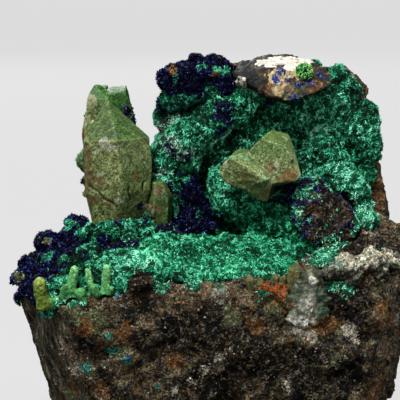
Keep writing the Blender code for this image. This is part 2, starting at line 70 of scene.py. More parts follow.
# Round patches on which each field is 1: (x, y, z, radius)
ON_ROCK = {
    "rust": ((51, 14.5, 69, 6), (-36, -35, 41, 3), (-24, -35, 39, 3.4), (28.5, -34, 40, 2.6),
        (18.5, -34, 51, 3.2), (48, -31, 44, 3.8), (52, -26, 41, 3), (47, -28, 20, 4), (-33, -32, 22, 3.2),
        (-10, -33.5, 31, 3), (-42, -26, 19, 3.6), (-15, -34, 14, 5), (25.5, -7, 67.5, 2.4),
        (12, -34.5, 41, 2.6), (33.5, -34, 42, 2)),
    "fire": ((14.5, -34.5, 52.5, 1.6), (17.5, -34.5, 52, 2), (20.5, -33.5, 52.5, 1.9), (22.5, -34, 51, 1.4)),
    "tan": ((-8, -34, 51, 2.6), (-2, -34, 51.5, 2.2), (4, -34.5, 51, 3.4), (9, -34.5, 48.5, 2.6),
        (49, -29, 32.5, 3.2), (-41, -29, 31.5, 3.4), (-38.5, -28.5, 24.5, 3.2), (-33, -31, 20, 3.4),
        (52, -24, 42, 3), (-27, -34, 29, 3), (42, -34, 21, 3), (-18.5, -35.5, 43, 2.4),
        (51, -26.5, 57, 2.4), (-12, -34, 46, 1.8), (27, -34, 37, 2.6), (52, -24, 50, 2.4)),
    "olive": ((-38, -35, 45, 3.6), (-33, -35.5, 43, 3), (17, -35, 47.5, 3), (5, -34.5, 44, 2.4),
        (-25, -34.5, 33, 3.4), (-34, -31, 26, 3), (-41, -22, 17, 3), (36, -34, 31, 2.4), (55, -20, 55, 2.4),
        (26, -34, 38, 3)),
    "coal": ((-45, -31, 47, 3.4), (-35, -34, 35, 3), (-30, -33, 26, 2.4), (-9, -34.5, 38.5, 6),
        (-20, -35, 37, 3), (-20, -35, 47, 4), (-37, -34, 42, 2.6), (-21, -34.5, 53.5, 5),
        (-1, -35, 41, 4.5), (7, -35, 37, 4.6), (13, -34.5, 30, 7), (25, -34, 29, 6), (0, -34, 23, 8),
        (28, -34, 17, 9), (38, -34, 27, 6), (35, -33, 48, 4), (40.5, -33, 46.5, 5), (40, -16, 60, 4),
        (52, -17, 60, 7), (48, -8, 61, 6)),
    "pale": ((-10.5, -34, 23, 1.8), (-6, -34.5, 25.5, 2), (-2, -35, 28.5, 2), (1.5, -35, 32, 1.7),
        (5, -35.5, 35, 1.5), (-34, -31, 24, 1.6), (21, -35, 24, 1.8), (53, -22, 40, 2),
        (-37.5, -30.5, 28.5, 2), (-42.5, -28.5, 35, 1.6), (-39, -28, 25, 1.3), (-30, -34, 30, 1.4),
        (-19, -35.5, 43.5, 1.3), (-25, -33.5, 53.5, 1.8), (38.5, -34, 40, 2.3), (40, -34, 37, 1.5),
        (2.5, -34.5, 50, 2.8), (47, -5, 61, 2.8), (24.5, -34.5, 40, 2.2), (28, -34.5, 38, 2),
        (36, -30, 57.5, 2.2), (47, -28.5, 20, 1.2), (51, -26.5, 56, 1.8)),
    "teal": ((-29, -35.5, 39, 1.1), (-15.5, -33.5, 24, 1.5), (-24, -34.5, 31.5, 2), (-28, -34.5, 34, 1.6),
        (-36, -31, 28, 2.2), (-50, -24, 42, 2.4), (32, -34, 47, 1.6), (50, -30, 33, 0.8), (52, -26, 45, 1)),
    "blue": ((-27, -34, 50.5, 1.8), (-22, -34.5, 57, 1.2), (-48, -26, 44, 1.6), (-23, -34.5, 32.5, 1.2)),
    "green": ((33, -32, 52.5, 2.2), (35, -31.5, 54, 1.5), (31, -25.5, 57.5, 3.4), (34, -20, 58.5, 3.8),
        (37, -14.5, 59.5, 2.4), (49, -16.5, 59.5, 1.6), (24, -31, 55.5, 2), (-50, -25, 45, 3),
        (-38, -33.5, 48, 1.8), (29, -17, 57, 5), (-14.5, -34, 53.5, 2.2), (-5, -34, 53, 1.8),
        (2.5, -34, 53, 1.5), (14, -34, 50.5, 1.5), (38, -33, 51.5, 2.2)),
}
ON_CRUST = {
    "azure": ((3, 6, 95, 3), (5.5, 6, 96.5, 1.7), (1.5, 5, 90.5, 1.7), (7, 8.5, 88.5, 1.5),
        (-6.5, 1.5, 85, 1.3), (-12, -1.5, 85.5, 1.4), (-9, 1, 82.5, 1.6), (0, 6, 64, 4.5),
        (-12, -9, 62.5, 3.8), (-15.5, -8, 64, 3.4), (-13, -3, 73, 2.4), (-31.5, -17, 60.5, 2.2),
        (-27, -18.5, 60, 2), (-23, -18, 60.5, 2.4), (24, 8.5, 71, 3), (-36, -21, 58, 1.3),
        (-24, -15.5, 61.5, 1.4), (-27, -14, 64.5, 1.8), (-20, -12, 65, 1.6), (-43, -14, 60, 2.6),
        (-45, -18, 56, 2.2), (26, -3, 77, 1.6), (17, 12, 98, 1.8), (24, 12, 97.5, 1.8), (-44, -25, 51, 2.6)),
    "floor": ((-12, -21, 56, 9), (0, -20, 55, 11), (12, -18, 56, 10), (20, -14, 56, 7), (6, -28, 54, 8)),
    "deep": ((4, 8, 59, 11), (14, 0, 60, 11), (26, -2, 58, 9), (-3, -8, 60, 7), (42, 14, 76, 8),
        (22, -20, 56, 6)),
    # shade: painted shade in recesses, under the crown and behind the fingers; the crust is also pressed in
    # there
    "shade": ((4, 8, 60, 5), (-1, 1, 59, 4.6), (10, 6, 57, 4), (-16, 9, 97, 5), (-4, 9, 98, 5),
        (21, -3, 72, 4), (-40, -22, 54, 4), (-36, -26, 52, 3.4), (28, -12, 57, 4.6), (30, 5, 62, 3),
        (36, 11, 86, 2.4)),
    "frost": ((-12, 10, 90.5, 4), (-12, -1.5, 87, 3), (-9, 0, 84, 2.4), (-15, 0, 80, 2.6)),
    "mint": ((35, 4, 79.5, 2), (39, 2, 76, 2.4), (42, 0.5, 71, 2.4), (45, -0.5, 66, 3), (33, 13.5, 89.5, 3),
        (3, 8, 91, 3.4), (-14, -3, 79, 3), (-11, -3, 72, 2.4), (-24, -17, 60, 4), (-16, -20, 59, 3),
        (-19, -25, 57, 4)),
}
ON_CROWN = {
    "green": ((-3.5, 6, 110, 1.8), (2.5, 6, 108.5, 1.6), (-10.5, 5, 107, 1.9), (-0.5, 7, 103, 2),
        (5.5, 7, 108.5, 1.9), (-6, 6, 99, 2.6), (-13.5, 6, 98.5, 3.6), (-9, 6.5, 96.5, 4), (0, 7.5, 99, 3.6)),
    "rust": ((-12, 5.5, 109.5, 1.9), (-9, 9, 112, 1.3), (1.5, 6, 107, 1.4)),
}
ON_FLANK = {
    "green": ((-53, -18, 43.5, 3.2), (-48, -14, 56, 1.7), (-42, -9, 64.5, 2), (-44, -18, 54, 2),
        (-39.5, -12, 64, 2.2), (-50, -19, 47, 2.4)),
    "olive": ((-57, -14, 50, 2.4), (-52, -13, 57, 1.7), (-48, -12, 60, 1.5)),
}
ON_STREAK = {
    "green": ((-8, -1.5, 77, 1.4), (-3, -1.5, 66, 1.4), (-9.5, -1.5, 69, 1.2)),
}
ON_CRYSTALS = {
    "frost": ((-31, -11, 88.5, 2), (-28.5, -12, 88, 1.5), (-33, -10.5, 87, 1.4), (-31.5, -11.5, 80, 1.4),
        (-29, -12, 76.5, 1.8), (-26, -13.5, 73, 1.5)),
    "stain": ((-36.5, -8.5, 85.5, 2.6), (-35.5, -9.5, 79.5, 3.6), (-35, -10, 72, 3), (-32, -11.5, 78, 1.8),
        (-17, -7, 69, 3), (-15, -7.5, 74, 2)),
    "rust": ((-30, -12, 72, 1.4), (-22, -10.5, 79, 1.1), (-35.5, 4, 99, 1.5), (-37, -1, 90, 2.2)),
    "white": ((-36.5, 2.5, 99, 2.5), (-37, 1, 94.5, 2.4)),
    "vivid": ((-33, 5.5, 103.5, 5), (-27, 5, 100, 7), (-24, 9, 92, 7)),
    "azure": ((-37.5, 2.5, 102.5, 1.6), (-37.5, 0.5, 95.5, 0.9), (-25.5, 4, 96.5, 2.2), (-22, 5, 94, 2.4),
        (-21.5, -9.5, 70, 1.2), (-38, -0.5, 76.5, 0.9), (-18, -7.5, 66, 1)),
    "lumps": ((-38.5, 1, 82.5, 2.4), (-38, 0, 76.5, 1.2), (-37.5, -1, 72, 1.4), (-18.5, -6.5, 68, 2)),
}
ON_TWIN = {
    "frost": ((19, -6.5, 82, 0.9), (4.5, -9.5, 81.5, 1.1)),
    "stain": ((23, -7, 79, 2.6), (20.5, -7, 77.5, 2), (9.5, -11, 79.5, 1.4), (16.5, -7, 81, 1.6)),
    "rust": ((23, -7, 79, 1.6), (21.8, -7.5, 77.5, 1.4), (17.5, -6, 74, 2)),
    "mint": ((6, -9, 85, 0.8), (8.5, -8.5, 85, 0.9), (11, -9, 84, 0.9), (13, -10, 82, 0.8),
        (15.5, -11, 79.5, 0.7)),
    "crack": ((23.5, -5.5, 83, 0.7), (8.5, -9.5, 77, 0.5)),
}
ON_CAP = {
    "white": ((16.5, 12.5, 110, 2.6), (21, 14.5, 110.5, 3.8), (25.5, 14.5, 110, 3.8), (29, 17, 110.5, 2.8),
        (24, 10, 109.3, 2.6), (17.5, 8.5, 109, 1.4)),
    "cream": ((23, 6.7, 107.7, 1.8), (25.5, 7.5, 107.8, 2.2), (19, 5.5, 106.5, 2.4), (29, 9, 108.5, 2),
        (20, 3.5, 103, 1.8)),
    "rust": ((21, 9.5, 109, 0.9), (17, 3.5, 103.5, 2), (30.5, 4.5, 102.8, 2.6)),
    "tan": ((18.9, 3, 102.5, 3.2), (22, 3.4, 103.5, 2.8)),
    "olive": ((26.3, 3.2, 102.7, 2.2), (23, 2.4, 101, 2.2)),
    "coal": ((11.8, 13.5, 110, 3.4), (8.6, 8.3, 108, 3.2), (15, 15, 110.5, 2), (11, 6, 105, 3.4)),
    "azure": ((18.4, 4.9, 106, 1.3), (20.8, 6.4, 107.6, 1.4), (22.9, 5.6, 106.6, 1.7),
        (25.5, 4.8, 105, 1.8), (29.1, 5.1, 104.8, 1.5), (33, 9, 106.7, 1.5), (24.5, 3.2, 100.4, 1.5),
        (12.5, 4.5, 101, 1.4)),
}
ON_WINDOW = {
    "pale": ((23.8, -35.5, 43.5, 3.4), (26.5, -35.5, 43.5, 2.8), (26.5, -36, 48, 2.6),
        (27.5, -36, 54.5, 1.8)),
    "green": ((30.5, -36, 50.5, 1.8), (31, -36, 46, 2), (22, -35.5, 51, 1.6), (24.5, -36, 56.5, 1.4)),
    "rust": ((21.8, -35.5, 47.5, 1.2), (31, -35.5, 43, 1.4), (24, -35.5, 50.5, 0.8)),
}
# Cracks across the front of the crystals: lines of (x, z)
CRACKS = (
    ((-36, 76.5), (-34, 75.5), (-33, 75), (-31.5, 73), (-29, 72), (-27.5, 71)),
    ((-24, 76), (-24, 74.5), (-23.5, 72.5)),
    ((-20, 77), (-20, 75)),
)
# Small crystals on the lip: foot, tip and radius
LIP_CRYSTALS = (
    ((22.8, -30.4, 53), (23.8, -30, 59), 2.2), ((27, -30.4, 55), (29.8, -30.4, 57.4), 1.2),
    ((10.8, -32.6, 52), (10, -33, 56.2), 1.5), ((12.8, -33, 52), (13.8, -33.2, 55), 1.2),
    ((17.5, -31, 52.6), (17.8, -31.4, 56), 1.3), ((19.6, -31.4, 53), (20.4, -31.8, 55.6), 1),
)

# --- fields over the surface

HASH_PRIMES = np.array((73856093, 19349663, 83492791))
SEED_PRIME = 2654435761
LOW_BITS = 0xFFFFFFFF
FAR = 1e3  # a distance longer than any here


def lottery(cells, seed):
    """A repeatable number from 0 to 1 for each cell of whole numbers."""
    mixed = (cells * HASH_PRIMES).sum(axis=1) + seed * SEED_PRIME & LOW_BITS
    for shift, factor in ((15, 2246822519), (13, 1274126177)):
        mixed = (mixed ^ mixed >> shift) * factor & LOW_BITS
    return (mixed ^ mixed >> 16) / LOW_BITS


def lotteries(cells, seed):
    """Three such numbers for each cell."""
    return np.stack([lottery(cells, seed + axis) for axis in range(3)], axis=1)


def noise(points, size, seed):
    """Smooth noise from -1 to 1 with lumps of this size."""
    scaled = np.asarray(points) / size
    base = np.floor(scaled)
    part = rise(scaled - base, 0, 1)
    base = base.astype(np.int64)
    total = np.zeros(len(scaled))
    for corner in itertools.product((0, 1), repeat=3):
        total += np.where(corner, part, 1 - part).prod(axis=1) * lottery(base + corner, seed)
    return 2 * total - 1


def cloud(points, size, seed):
    """Noise with finer noise on it, from about -1 to 1."""
    return sum(noise(points, size / 2**i, seed + i) / 2**i for i in range(3)) / 1.5


def nearest_seed(points, size, seed):
    """How far each point is from the nearest of scattered seeds, in sizes, and its place and number."""
    scaled = np.asarray(points) / size
    base = np.floor(scaled).astype(np.int64)
    distance = np.full(len(scaled), FAR)
    place = np.zeros_like(scaled)
    number = np.zeros(len(scaled))
    for step in itertools.product((-1, 0, 1), repeat=3):
        cell = base + step
        centre = cell + lotteries(cell, seed)
        reach = np.linalg.norm(scaled - centre, axis=1)
        nearer = reach < distance
        distance = np.where(nearer, reach, distance)
        place[nearer] = centre[nearer] * size
        number = np.where(nearer, lottery(cell, seed + 3), number)
    return distance, place, number


def domes(points, size, seed):
    """Heights from 0 to 1 of close-packed round knobs of this size."""
    distance, _, number = nearest_seed(points, size, seed)
    return np.sqrt(np.clip(1 - (distance / 0.85) ** 2, 0, 1)) * (0.6 + 0.4 * number)


def chips(points, size, seed):
    """Heights from about -0.6 to 0.6 of flat broken faces of this size, each tilted its own way."""
    place = nearest_seed(points, size, seed)[1]
    tilt = 2 * lotteries(np.floor(place / size).astype(np.int64), seed + 5) - 1
    return ((points - place) / size * tilt).sum(axis=1)


def warped(points, size, amount, seed):
    """The points pushed about by noise, so that a pattern read there is less regular."""
    return points + amount * np.column_stack([noise(points, size, seed + axis) for axis in range(3)])


def crests(points):
    """1 on winding ridges, about half a millimetre apart, and 0 between them."""
    return np.clip(1.15 - 3.0 * np.abs(noise(warped(points, 1.0, 0.4, 171), 1.0, 178)), 0, 1)


def patch_fields(points, patches):
    """For each named list of round patches, 1 inside them and 0 outside, with soft ragged rims."""
    bent = warped(points, 2.2, 0.9, 11)
    ragged = 1 + 0.5 * cloud(points, 1.3, 16)
    fields = {}
    for field, places in patches.items():
        fields[field] = np.zeros(len(points))
        for *centre, radius in places:
            inside = radius * ragged - np.linalg.norm(bent - centre, axis=1)
            fields[field] = np.maximum(fields[field], np.clip(inside / (0.45 * radius + 0.3) + 0.5, 0, 1))
    return fields


def off_line(points, line):
    """The distance from each point to a line of straight stretches."""
    found = np.full(len(points), FAR)
    for start, end in itertools.pairwise(np.array(line, float)):
        stretch = end - start
        along = np.clip((points - start) @ stretch / (stretch @ stretch), 0, 1)
        found = np.minimum(found, np.linalg.norm(points - start - along[:, None] * stretch, axis=1))
    return found


def rise(values, low, high):
    """0 below low, 1 above high, and a smooth rise between them."""
    part = np.clip((values - low) / (high - low), 0, 1)
    return part * part * (3 - 2 * part)


def off_centre(points):
    """How far each point lies from the middle, seen from the front: about 1 at the outline."""
    low, high = points.min(axis=0), points.max(axis=0)
    return np.linalg.norm(((points - low) / (high - low) - 0.5)[:, (0, 2)], axis=1) * 2


# --- meshes


def numbers_of(items, what, width, kind=np.float32):
    """One property of all these items, with so many numbers each."""
    values = np.empty(len(items) * width, kind)
    items.foreach_get(what, values)
    return values.reshape(-1, width)


def shape_of(mesh):
    """A mesh's points and triangles."""
    mesh.calc_loop_triangles()
    points = numbers_of(mesh.vertices, "co", 3).astype(float) / MM
    return points, numbers_of(mesh.loop_triangles, "vertices", 3, np.int32)


def tree_of(nodes):
    """One search tree over the plain solids of these nodes."""
    points, triangles, count = [], [], 0
    for node in nodes:
        own_points, own_triangles = shape_of(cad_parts[node].data)
        points.append(own_points)
        triangles.append(own_triangles + count)
        count += len(own_points)
    return BVHTree.FromPolygons(np.concatenate(points).tolist(), np.concatenate(triangles).tolist())


def unit(vectors):
    return vectors / np.maximum(np.linalg.norm(vectors, axis=1, keepdims=True), 1e-9)


def outward(points, triangles):
    """A vector along each triangle's normal, twice as long as its area."""
    first, second, third = (points[triangles[:, corner]] for corner in range(3))
    return np.cross(second - first, third - first)


def placed(name, data):
    """An object with this data, in the scene."""
    made = bpy.data.objects.new(name, data)
    bpy.context.scene.collection.objects.link(made)
    return made


class Skin:
    """A node's surface as an even mesh, to be shaped and painted and then made into a piece."""

    def __init__(self, node, voxel, faceted=False):
        self.node = node
        body = placed("skin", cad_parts[node].data)
        remesh = body.modifiers.new("even mesh", "REMESH")
        remesh.mode = "VOXEL"
        remesh.voxel_size = voxel * MM
        remesh.use_smooth_shade = True
        mesh = body.evaluated_get(bpy.context.evaluated_depsgraph_get()).to_mesh()
        self.points, self.triangles = shape_of(mesh)
        self.normals = numbers_of(mesh.vertices, "normal", 3).astype(float)
        bpy.data.objects.remove(body)
        if faceted:
            self.press_to_solid()
        self.ground = self.points.copy()
        self.fields = {}

    def press_to_solid(self):
        """Puts the mesh back on the solid's flat faces, which the even mesh rounds off a little."""
        tree = tree_of([self.node])
        for i, point in enumerate(self.points):
            self.points[i], self.normals[i], _, _ = tree.find_nearest(point)

    def even(self, value):
        """The same value at each point."""
        return np.full(len(self.points), float(value))

    def shape(self, heights):
        """Moves the surface out by these heights."""
        self.points = self.points + self.normals * np.asarray(heights)[:, None]
        flat = outward(self.points, self.triangles)
        total = np.zeros_like(self.points)
        for corner, axis in itertools.product(range(3), repeat=2):
            total[:, axis] += np.bincount(self.triangles[:, corner], flat[:, axis], len(total))
        self.normals = unit(total)

    def piece(self, name, material):
        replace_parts(piece_from(name, self.points, self.triangles, self.fields, material), self.node)


def piece_from(name, points, triangles, fields, material, smooth=True):
    """A mesh piece on the specimen's body, kept inside the box of its solids."""
    mesh = bpy.data.meshes.new(name)
    points = np.clip(points, LOWEST, HIGHEST) * MM
    mesh.from_pydata(points.tolist(), [], triangles.tolist(), shade_flat=not smooth)
    for field, values in fields.items():
        stored = mesh.attributes.new(field, "FLOAT", "POINT")
        stored.data.foreach_set("value", np.asarray(values, np.float32))
    mesh.materials.append(material)
    made = placed(name, mesh)
    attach(made, "root")
    return made


# --- sown crystals

# A spike on a base of three points
SPIKE_POINTS = [(math.cos(a), math.sin(a), -0.1) for a in (0, 2.09, 4.19)] + [(0.3, 0, 1)]
SPIKE = (np.array(SPIKE_POINTS), np.array([(0, 2, 1), (3, 0, 1), (3, 1, 2), (3, 2, 0)]))
# A lump with eight uneven faces
CRUMB_POINTS = (0, 0, -0.6), (1, 0.2, 0.1), (-0.2, 0.9, 0), (-0.9, -0.1, 0.2), (0.1, -1, -0.1), (0.1, 0, 0.9)
CRUMB_FACES = (0, 2, 1), (0, 3, 2), (0, 4, 3), (0, 1, 4), (5, 1, 2), (5, 2, 3), (5, 3, 4), (5, 4, 1)
CRUMB = (np.array(CRUMB_POINTS), np.array(CRUMB_FACES))
HEADROOM = 1.3  # nothing is sown where another node is this close above


def sow(skin, density, share, seed):
    """Places on a skin, so many to the square millimetre times share: skin points, places, normals, count."""
    random = np.random.default_rng(seed)
    area = np.linalg.norm(outward(skin.points, skin.triangles), axis=1) / 2
    weight = area * share[skin.triangles].mean(axis=1)
    count = int(density * weight.sum())
    chosen = np.searchsorted(np.cumsum(weight) / weight.sum(), random.random(count))
    spread = random.random((count, 2))
    spread[spread.sum(axis=1) > 1] = 1 - spread[spread.sum(axis=1) > 1]
    parts = np.column_stack([1 - spread.sum(axis=1), spread])
    corner_ids = skin.triangles[chosen]
    corners = (values[corner_ids] for values in (skin.points, skin.ground, skin.normals))
    points, ground, normals = ((values * parts[:, :, None]).sum(axis=1) for values in corners)
    normals = unit(normals)
    clear = clear_of_others(skin.node, ground, normals)
    return corner_ids[clear, 0], points[clear], normals[clear], clear.sum()


def clear_of_others(node, points, normals):
    """Which points have no other node just above them."""
    tree = tree_of([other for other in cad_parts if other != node])
    clear = np.ones(len(points), bool)
    for i, (point, normal) in enumerate(zip(points, normals)):
        clear[i] = tree.ray_cast(point, normal, HEADROOM)[0] is None
    return clear


def grow(places, directions, shape, lengths, widths, random, bend=0.0, taper=1.0):
    """Copies of a small shape, each at its place: points, triangles, and how far along each point is."""
    outline, faces = shape
    across = unit(np.cross(directions, random.normal(size=directions.shape)))
    beside = np.cross(directions, across)
    along = outline[:, 2]
    tips = np.clip(along, 0, 1)
    steps = (
        (across, np.outer(widths, outline[:, 0]) + np.outer(bend * lengths, tips**2)),
        (beside, np.outer(widths * taper, outline[:, 1])), (directions, np.outer(lengths, along)),
    )
    points = places[:, None] + sum(way[:, None] * far[:, :, None] for way, far in steps)
    triangles = faces + len(outline) * np.arange(len(places))[:, None, None]
    return points.reshape(-1, 3), triangles.reshape(-1, 3), np.tile(tips, len(places))


def sown_piece(name, body, fields, material):
    """Makes one piece of a grown body. fields gives one value a crystal."""
    points, triangles, tips = body
    each = len(tips) // len(fields["tone"])
    fields = {field: np.repeat(values, each) for field, values in fields.items()} | {"tip": tips}
    piece_from(name, points, triangles, fields, material, smooth=False)


CURL = 1.5  # size of the curls in which malachite grows


def curled(points, normals, seed, random):
    """Directions that run along the surface in curls and lift off it a little."""
    steps = 0.1 * CURL * np.eye(3)
    slope = [noise(points + step, CURL, seed) - noise(points - step, CURL, seed) for step in steps]
    along = unit(np.cross(normals, np.transpose(slope))) * random.choice((-1, 1), len(points))[:, None]
    return unit(along + 0.55 * normals + 0.35 * random.normal(size=points.shape))


# --- materials


class Paint:
    """A material made by short calls: a base colour, coats over it and a bump. Sizes are in millimetres.

    Any input takes a number, a colour, a socket or the name of a field.
    """

    def __init__(self, name, roughness, specular):
        self.material = bpy.data.materials.new(name)
        self.material.use_nodes = True
        self.tree = self.material.node_tree
        self.surface = self.tree.nodes["Principled BSDF"]
        self.set(self.surface.inputs["Roughness"], roughness)
        self.set(self.surface.inputs["Specular IOR Level"], specular)
        self.place = self.tree.nodes.new("ShaderNodeTexCoord").outputs["Object"]

    def set(self, socket, value):
        if isinstance(value, str):
            value = self.node("ShaderNodeAttribute", {}, attribute_name=value).outputs["Fac"]
        if isinstance(value, bpy.types.NodeSocket):
            self.tree.links.new(value, socket)
        elif isinstance(value, tuple) and len(value) == 3 and len(socket.default_value) == 4:
            socket.default_value = (*value, 1)
        else:
            socket.default_value = value

    def node(self, kind, inputs, **settings):
        made = self.tree.nodes.new(kind)
        for name, value in settings.items():
            setattr(made, name, value)
        for key, value in inputs.items():
            self.set(made.inputs[key], value)
        return made

    def math(self, operation, *values):
        return self.node("ShaderNodeMath", dict(enumerate(values)), operation=operation).outputs[0]

    def vector(self, operation, first, second, key=1):
        return self.node("ShaderNodeVectorMath", {0: first, key: second}, operation=operation).outputs[0]

    def total(self, start, *terms):
        """start plus each (value, factor)."""
        for value, factor in terms:
            start = self.math("MULTIPLY_ADD", value, factor, start)
        return start

    def stretched(self, sizes, lean=0.0):
        """The place drawn out so many times along each axis, leaning to the right by so many degrees."""
        inputs = {"Vector": self.place, "Rotation": (0, math.radians(lean), 0), "Scale": sizes}
        return self.node("ShaderNodeMapping", inputs, vector_type="TEXTURE").outputs[0]

    def texture(self, kind, place, size, **inputs):
        inputs |= {"Vector": place or self.place, "Scale": 1 / (size * MM)}
        return self.node("ShaderNodeTex" + kind, inputs).outputs

    def noise(self, size, detail=3.0, rough=0.6, place=None, warp=0.0):
        return self.texture("Noise", place, size, Detail=detail, Roughness=rough, Distortion=warp)["Fac"]

    def shaken(self, size, amount):
        """The place, moved about by noise, so that a pattern on it has ragged borders."""
        wobble = self.texture("Noise", None, size, Detail=2.0)["Color"]
        centred = self.vector("SUBTRACT", wobble, (0.5, 0.5, 0.5))
        return self.vector("ADD", self.place, self.vector("SCALE", centred, 2 * amount * MM, key="Scale"))

    def grains(self, size, shake=0.35):
        """Three numbers from 0 to 1 that are the same all over a grain, and the distance from its middle."""
        found = self.texture("Voronoi", self.shaken(size, shake * size), size)
        split = self.node("ShaderNodeSeparateColor", {0: found["Color"]})
        return (*split.outputs[:3], found["Distance"])

    def ramp(self, value, *colours, low=0.0, high=1.0):
        """Colours spread evenly from value low to value high."""
        made = self.node("ShaderNodeValToRGB", {0: value})
        elements = made.color_ramp.elements
        for i, colour in enumerate(colours):
            position = low + (high - low) * i / (len(colours) - 1)
            element = elements[i] if i < 2 else elements.new(position)
            element.position = position
            element.color = (*colour, 1)
        return made.outputs[0]

    def mix(self, factor, first, second, blend="MIX"):
        made = self.node("ShaderNodeMix", {}, data_type="RGBA", blend_type=blend)
        for i, value in ((0, factor), (6, first), (7, second)):
            self.set(made.inputs[i], value)
        return made.outputs[2]

    def band(self, value, low, high):
        """0 below low and 1 above high."""
        return self.node("ShaderNodeMapRange", {0: value, 1: low, 2: high}, clamp=True).outputs[0]

    def base(self, light, *colours):
        """The first colour, from dark to bright along this value."""
        self.light = light
        self.colour = self.ramp(light, *colours)

    def coat(self, value, *colours, low=0.0, high=1.0, along=None):
        """Another colour over the first: none of it where value is below low, and no other above high."""
        colour = self.ramp(along or self.light, *colours) if len(colours) > 1 else colours[0]
        self.colour = self.mix(self.band(value, low, high), self.colour, colour)

    def pepper(self, field, colours, strength, start, clump, fine, along=None):
        """A mineral in ragged spots, on most of the place where the field is 1 and a few elsewhere."""
        amount = self.total(0.0, (field, strength), (clump, 2.0), (fine, 0.25))
        self.coat(amount, *colours, low=start - 0.05, high=start + 0.07, along=along)

    def finish(self, strength=0.0, depth=0.0, *heights):
        """The material, with a bump that seems to move the surface by depth for each 1 of height."""
        self.set(self.surface.inputs["Base Color"], self.colour)
        if heights:
            inputs = {"Height": self.total(0.0, *heights), "Strength": strength, "Distance": depth * MM}
            self.set(self.surface.inputs["Normal"], self.node("ShaderNodeBump", inputs).outputs[0])
        return self.material


# Dark, middle and bright colours of the minerals that the fields spread over others
GRAINS = {
    "tan": ((0.02, 0.014, 0.008), (0.11, 0.078, 0.042), (0.5, 0.39, 0.25)),
    "rust": ((0.018, 0.008, 0.003), (0.095, 0.042, 0.014), (0.42, 0.22, 0.08)),
    "olive": ((0.01, 0.012, 0.005), (0.052, 0.058, 0.026), (0.28, 0.31, 0.17)),
    "pale": ((0.07, 0.065, 0.05), (0.22, 0.21, 0.165), (0.6, 0.56, 0.48)),
    "teal": ((0.002, 0.03, 0.022), (0.015, 0.15, 0.11), (0.24, 0.6, 0.48)),
    "blue": ((0.005, 0.008, 0.04), (0.03, 0.055, 0.2), (0.12, 0.18, 0.5)),
    "fire": ((0.05, 0.01, 0.003), (0.28, 0.055, 0.01), (0.6, 0.2, 0.05)),
    "moss": ((0.008, 0.018, 0.009), (0.03, 0.07, 0.035), (0.14, 0.25, 0.16)),
    "dark": ((0.003, 0.003, 0.002), (0.02, 0.021, 0.013), (0.12, 0.12, 0.08)),
    "green": ((0.001, 0.015, 0.008), (0.006, 0.1, 0.05), (0.05, 0.4, 0.22)),
}
# Minerals in the rock: field, how strongly it counts, and where the spots start
ROCK_MINERALS = (
    ("olive", 0.55, 1.36), ("tan", 0.42, 1.38), ("rust", 0.4, 1.37), ("pale", 0.7, 1.58),
    ("fire", 1.05, 1.75), ("teal", 0.7, 1.68), ("blue", 0.65, 1.7), ("green", 0.8, 1.75),
)


def rock_paint():
    """Near-black rock of angular bits, brown, olive and tan among them, and spotted with other minerals."""
    paint = Paint("broken_rock", roughness=0.8, specular=0.08)
    fine = paint.grains(0.34)
    bits = paint.grains(1.9, shake=0.9)
    bent = paint.shaken(1.6, 0.9)
    clumps = [paint.noise(size, 6.0, 0.74, place=bent, warp=0.7) for size in (2.0, 2.8, 3.8)]
    mottle = paint.noise(0.9, 5.0, 0.75)
    light = paint.total(-2.3, (mottle, 3.4), (fine[0], 0.4), (paint.noise(5.0, 5.0), 1.4), (bits[2], 0.22),
                        ("coal", -0.42), ("rust", 0.24), ("tan", 0.24), ("olive", 0.24))
    hue = paint.ramp(paint.total(bits[0], ("coal", -0.4)), (0.09, 0.085, 0.08), (0.08, 0.075, 0.07),
                     (0.26, 0.17, 0.08), (0.09, 0.085, 0.078), (0.18, 0.18, 0.085), (0.34, 0.18, 0.06),
                     (0.1, 0.095, 0.08), (0.5, 0.42, 0.25))
    bright = paint.ramp(light, *((level,) * 3 for level in (0.012, 0.05, 0.14, 0.4, 1.0)))
    paint.colour = paint.mix(1.0, hue, bright, blend="MULTIPLY")
    streaks = paint.noise(1.3, 5.0, 0.65, place=paint.stretched((1.0, 1.0, 6.0), lean=-13))
    face = paint.ramp(streaks, (0.004, 0.004, 0.0035), (0.022, 0.022, 0.017), (0.1, 0.088, 0.06),
                      (0.34, 0.32, 0.24), low=0.34, high=0.68)
    paint.coat(paint.math("MULTIPLY", "face", 0.8), face)
    vein_field = paint.noise(3.2, 6.0, 0.68, place=bent, warp=0.6)
    off_vein = paint.math("ABSOLUTE", paint.math("SUBTRACT", vein_field, 0.5))
    vein = paint.math("MULTIPLY", paint.band(off_vein, 0.016, 0.004), paint.band(clumps[1], 0.42, 0.56))
    paint.coat(vein, (0.1, 0.05, 0.02), (0.2, 0.15, 0.08), (0.26, 0.24, 0.17), along=bits[1])
    tone = paint.total(-0.85, (mottle, 2.1), (fine[1], 0.5))
    for i, (field, strength, start) in enumerate(ROCK_MINERALS):
        clump = paint.total(clumps[i % 3], ("coal", -0.16))
        paint.pepper(field, GRAINS[field], strength, start, clump, fine[(i + 1) % 3], along=tone)
    return paint.finish(1.0, 0.45, (paint.noise(0.5, 4.0, 0.65), 0.8), (fine[3], -0.4), (mottle, 0.8))


def velvet_paint():
    """The malachite under the grains, with painted shade: black-green in the creases and in the shade
    patches, greener on the knobs, and lighter on the crests, partly a painted highlight.
    """
    paint = Paint("malachite_velvet", roughness=0.8, specular=0.08)
    fine = paint.grains(0.4)
    light = paint.total(-0.52, ("height", 0.6), (fine[0], 0.25), ("crest", 0.4), ("mint", 0.2),
                        ("shade", -0.5), (paint.noise(1.4), 0.3))
    paint.base(light, (0.0003, 0.004, 0.002), (0.001, 0.018, 0.008), (0.005, 0.085, 0.036),
               (0.05, 0.33, 0.19))
    paint.coat("azure", (0.003, 0.003, 0.014), low=0.35, high=0.6)
    return paint.finish(0.8, 0.35, (paint.noise(0.45), 0.8), (fine[3], -0.4))


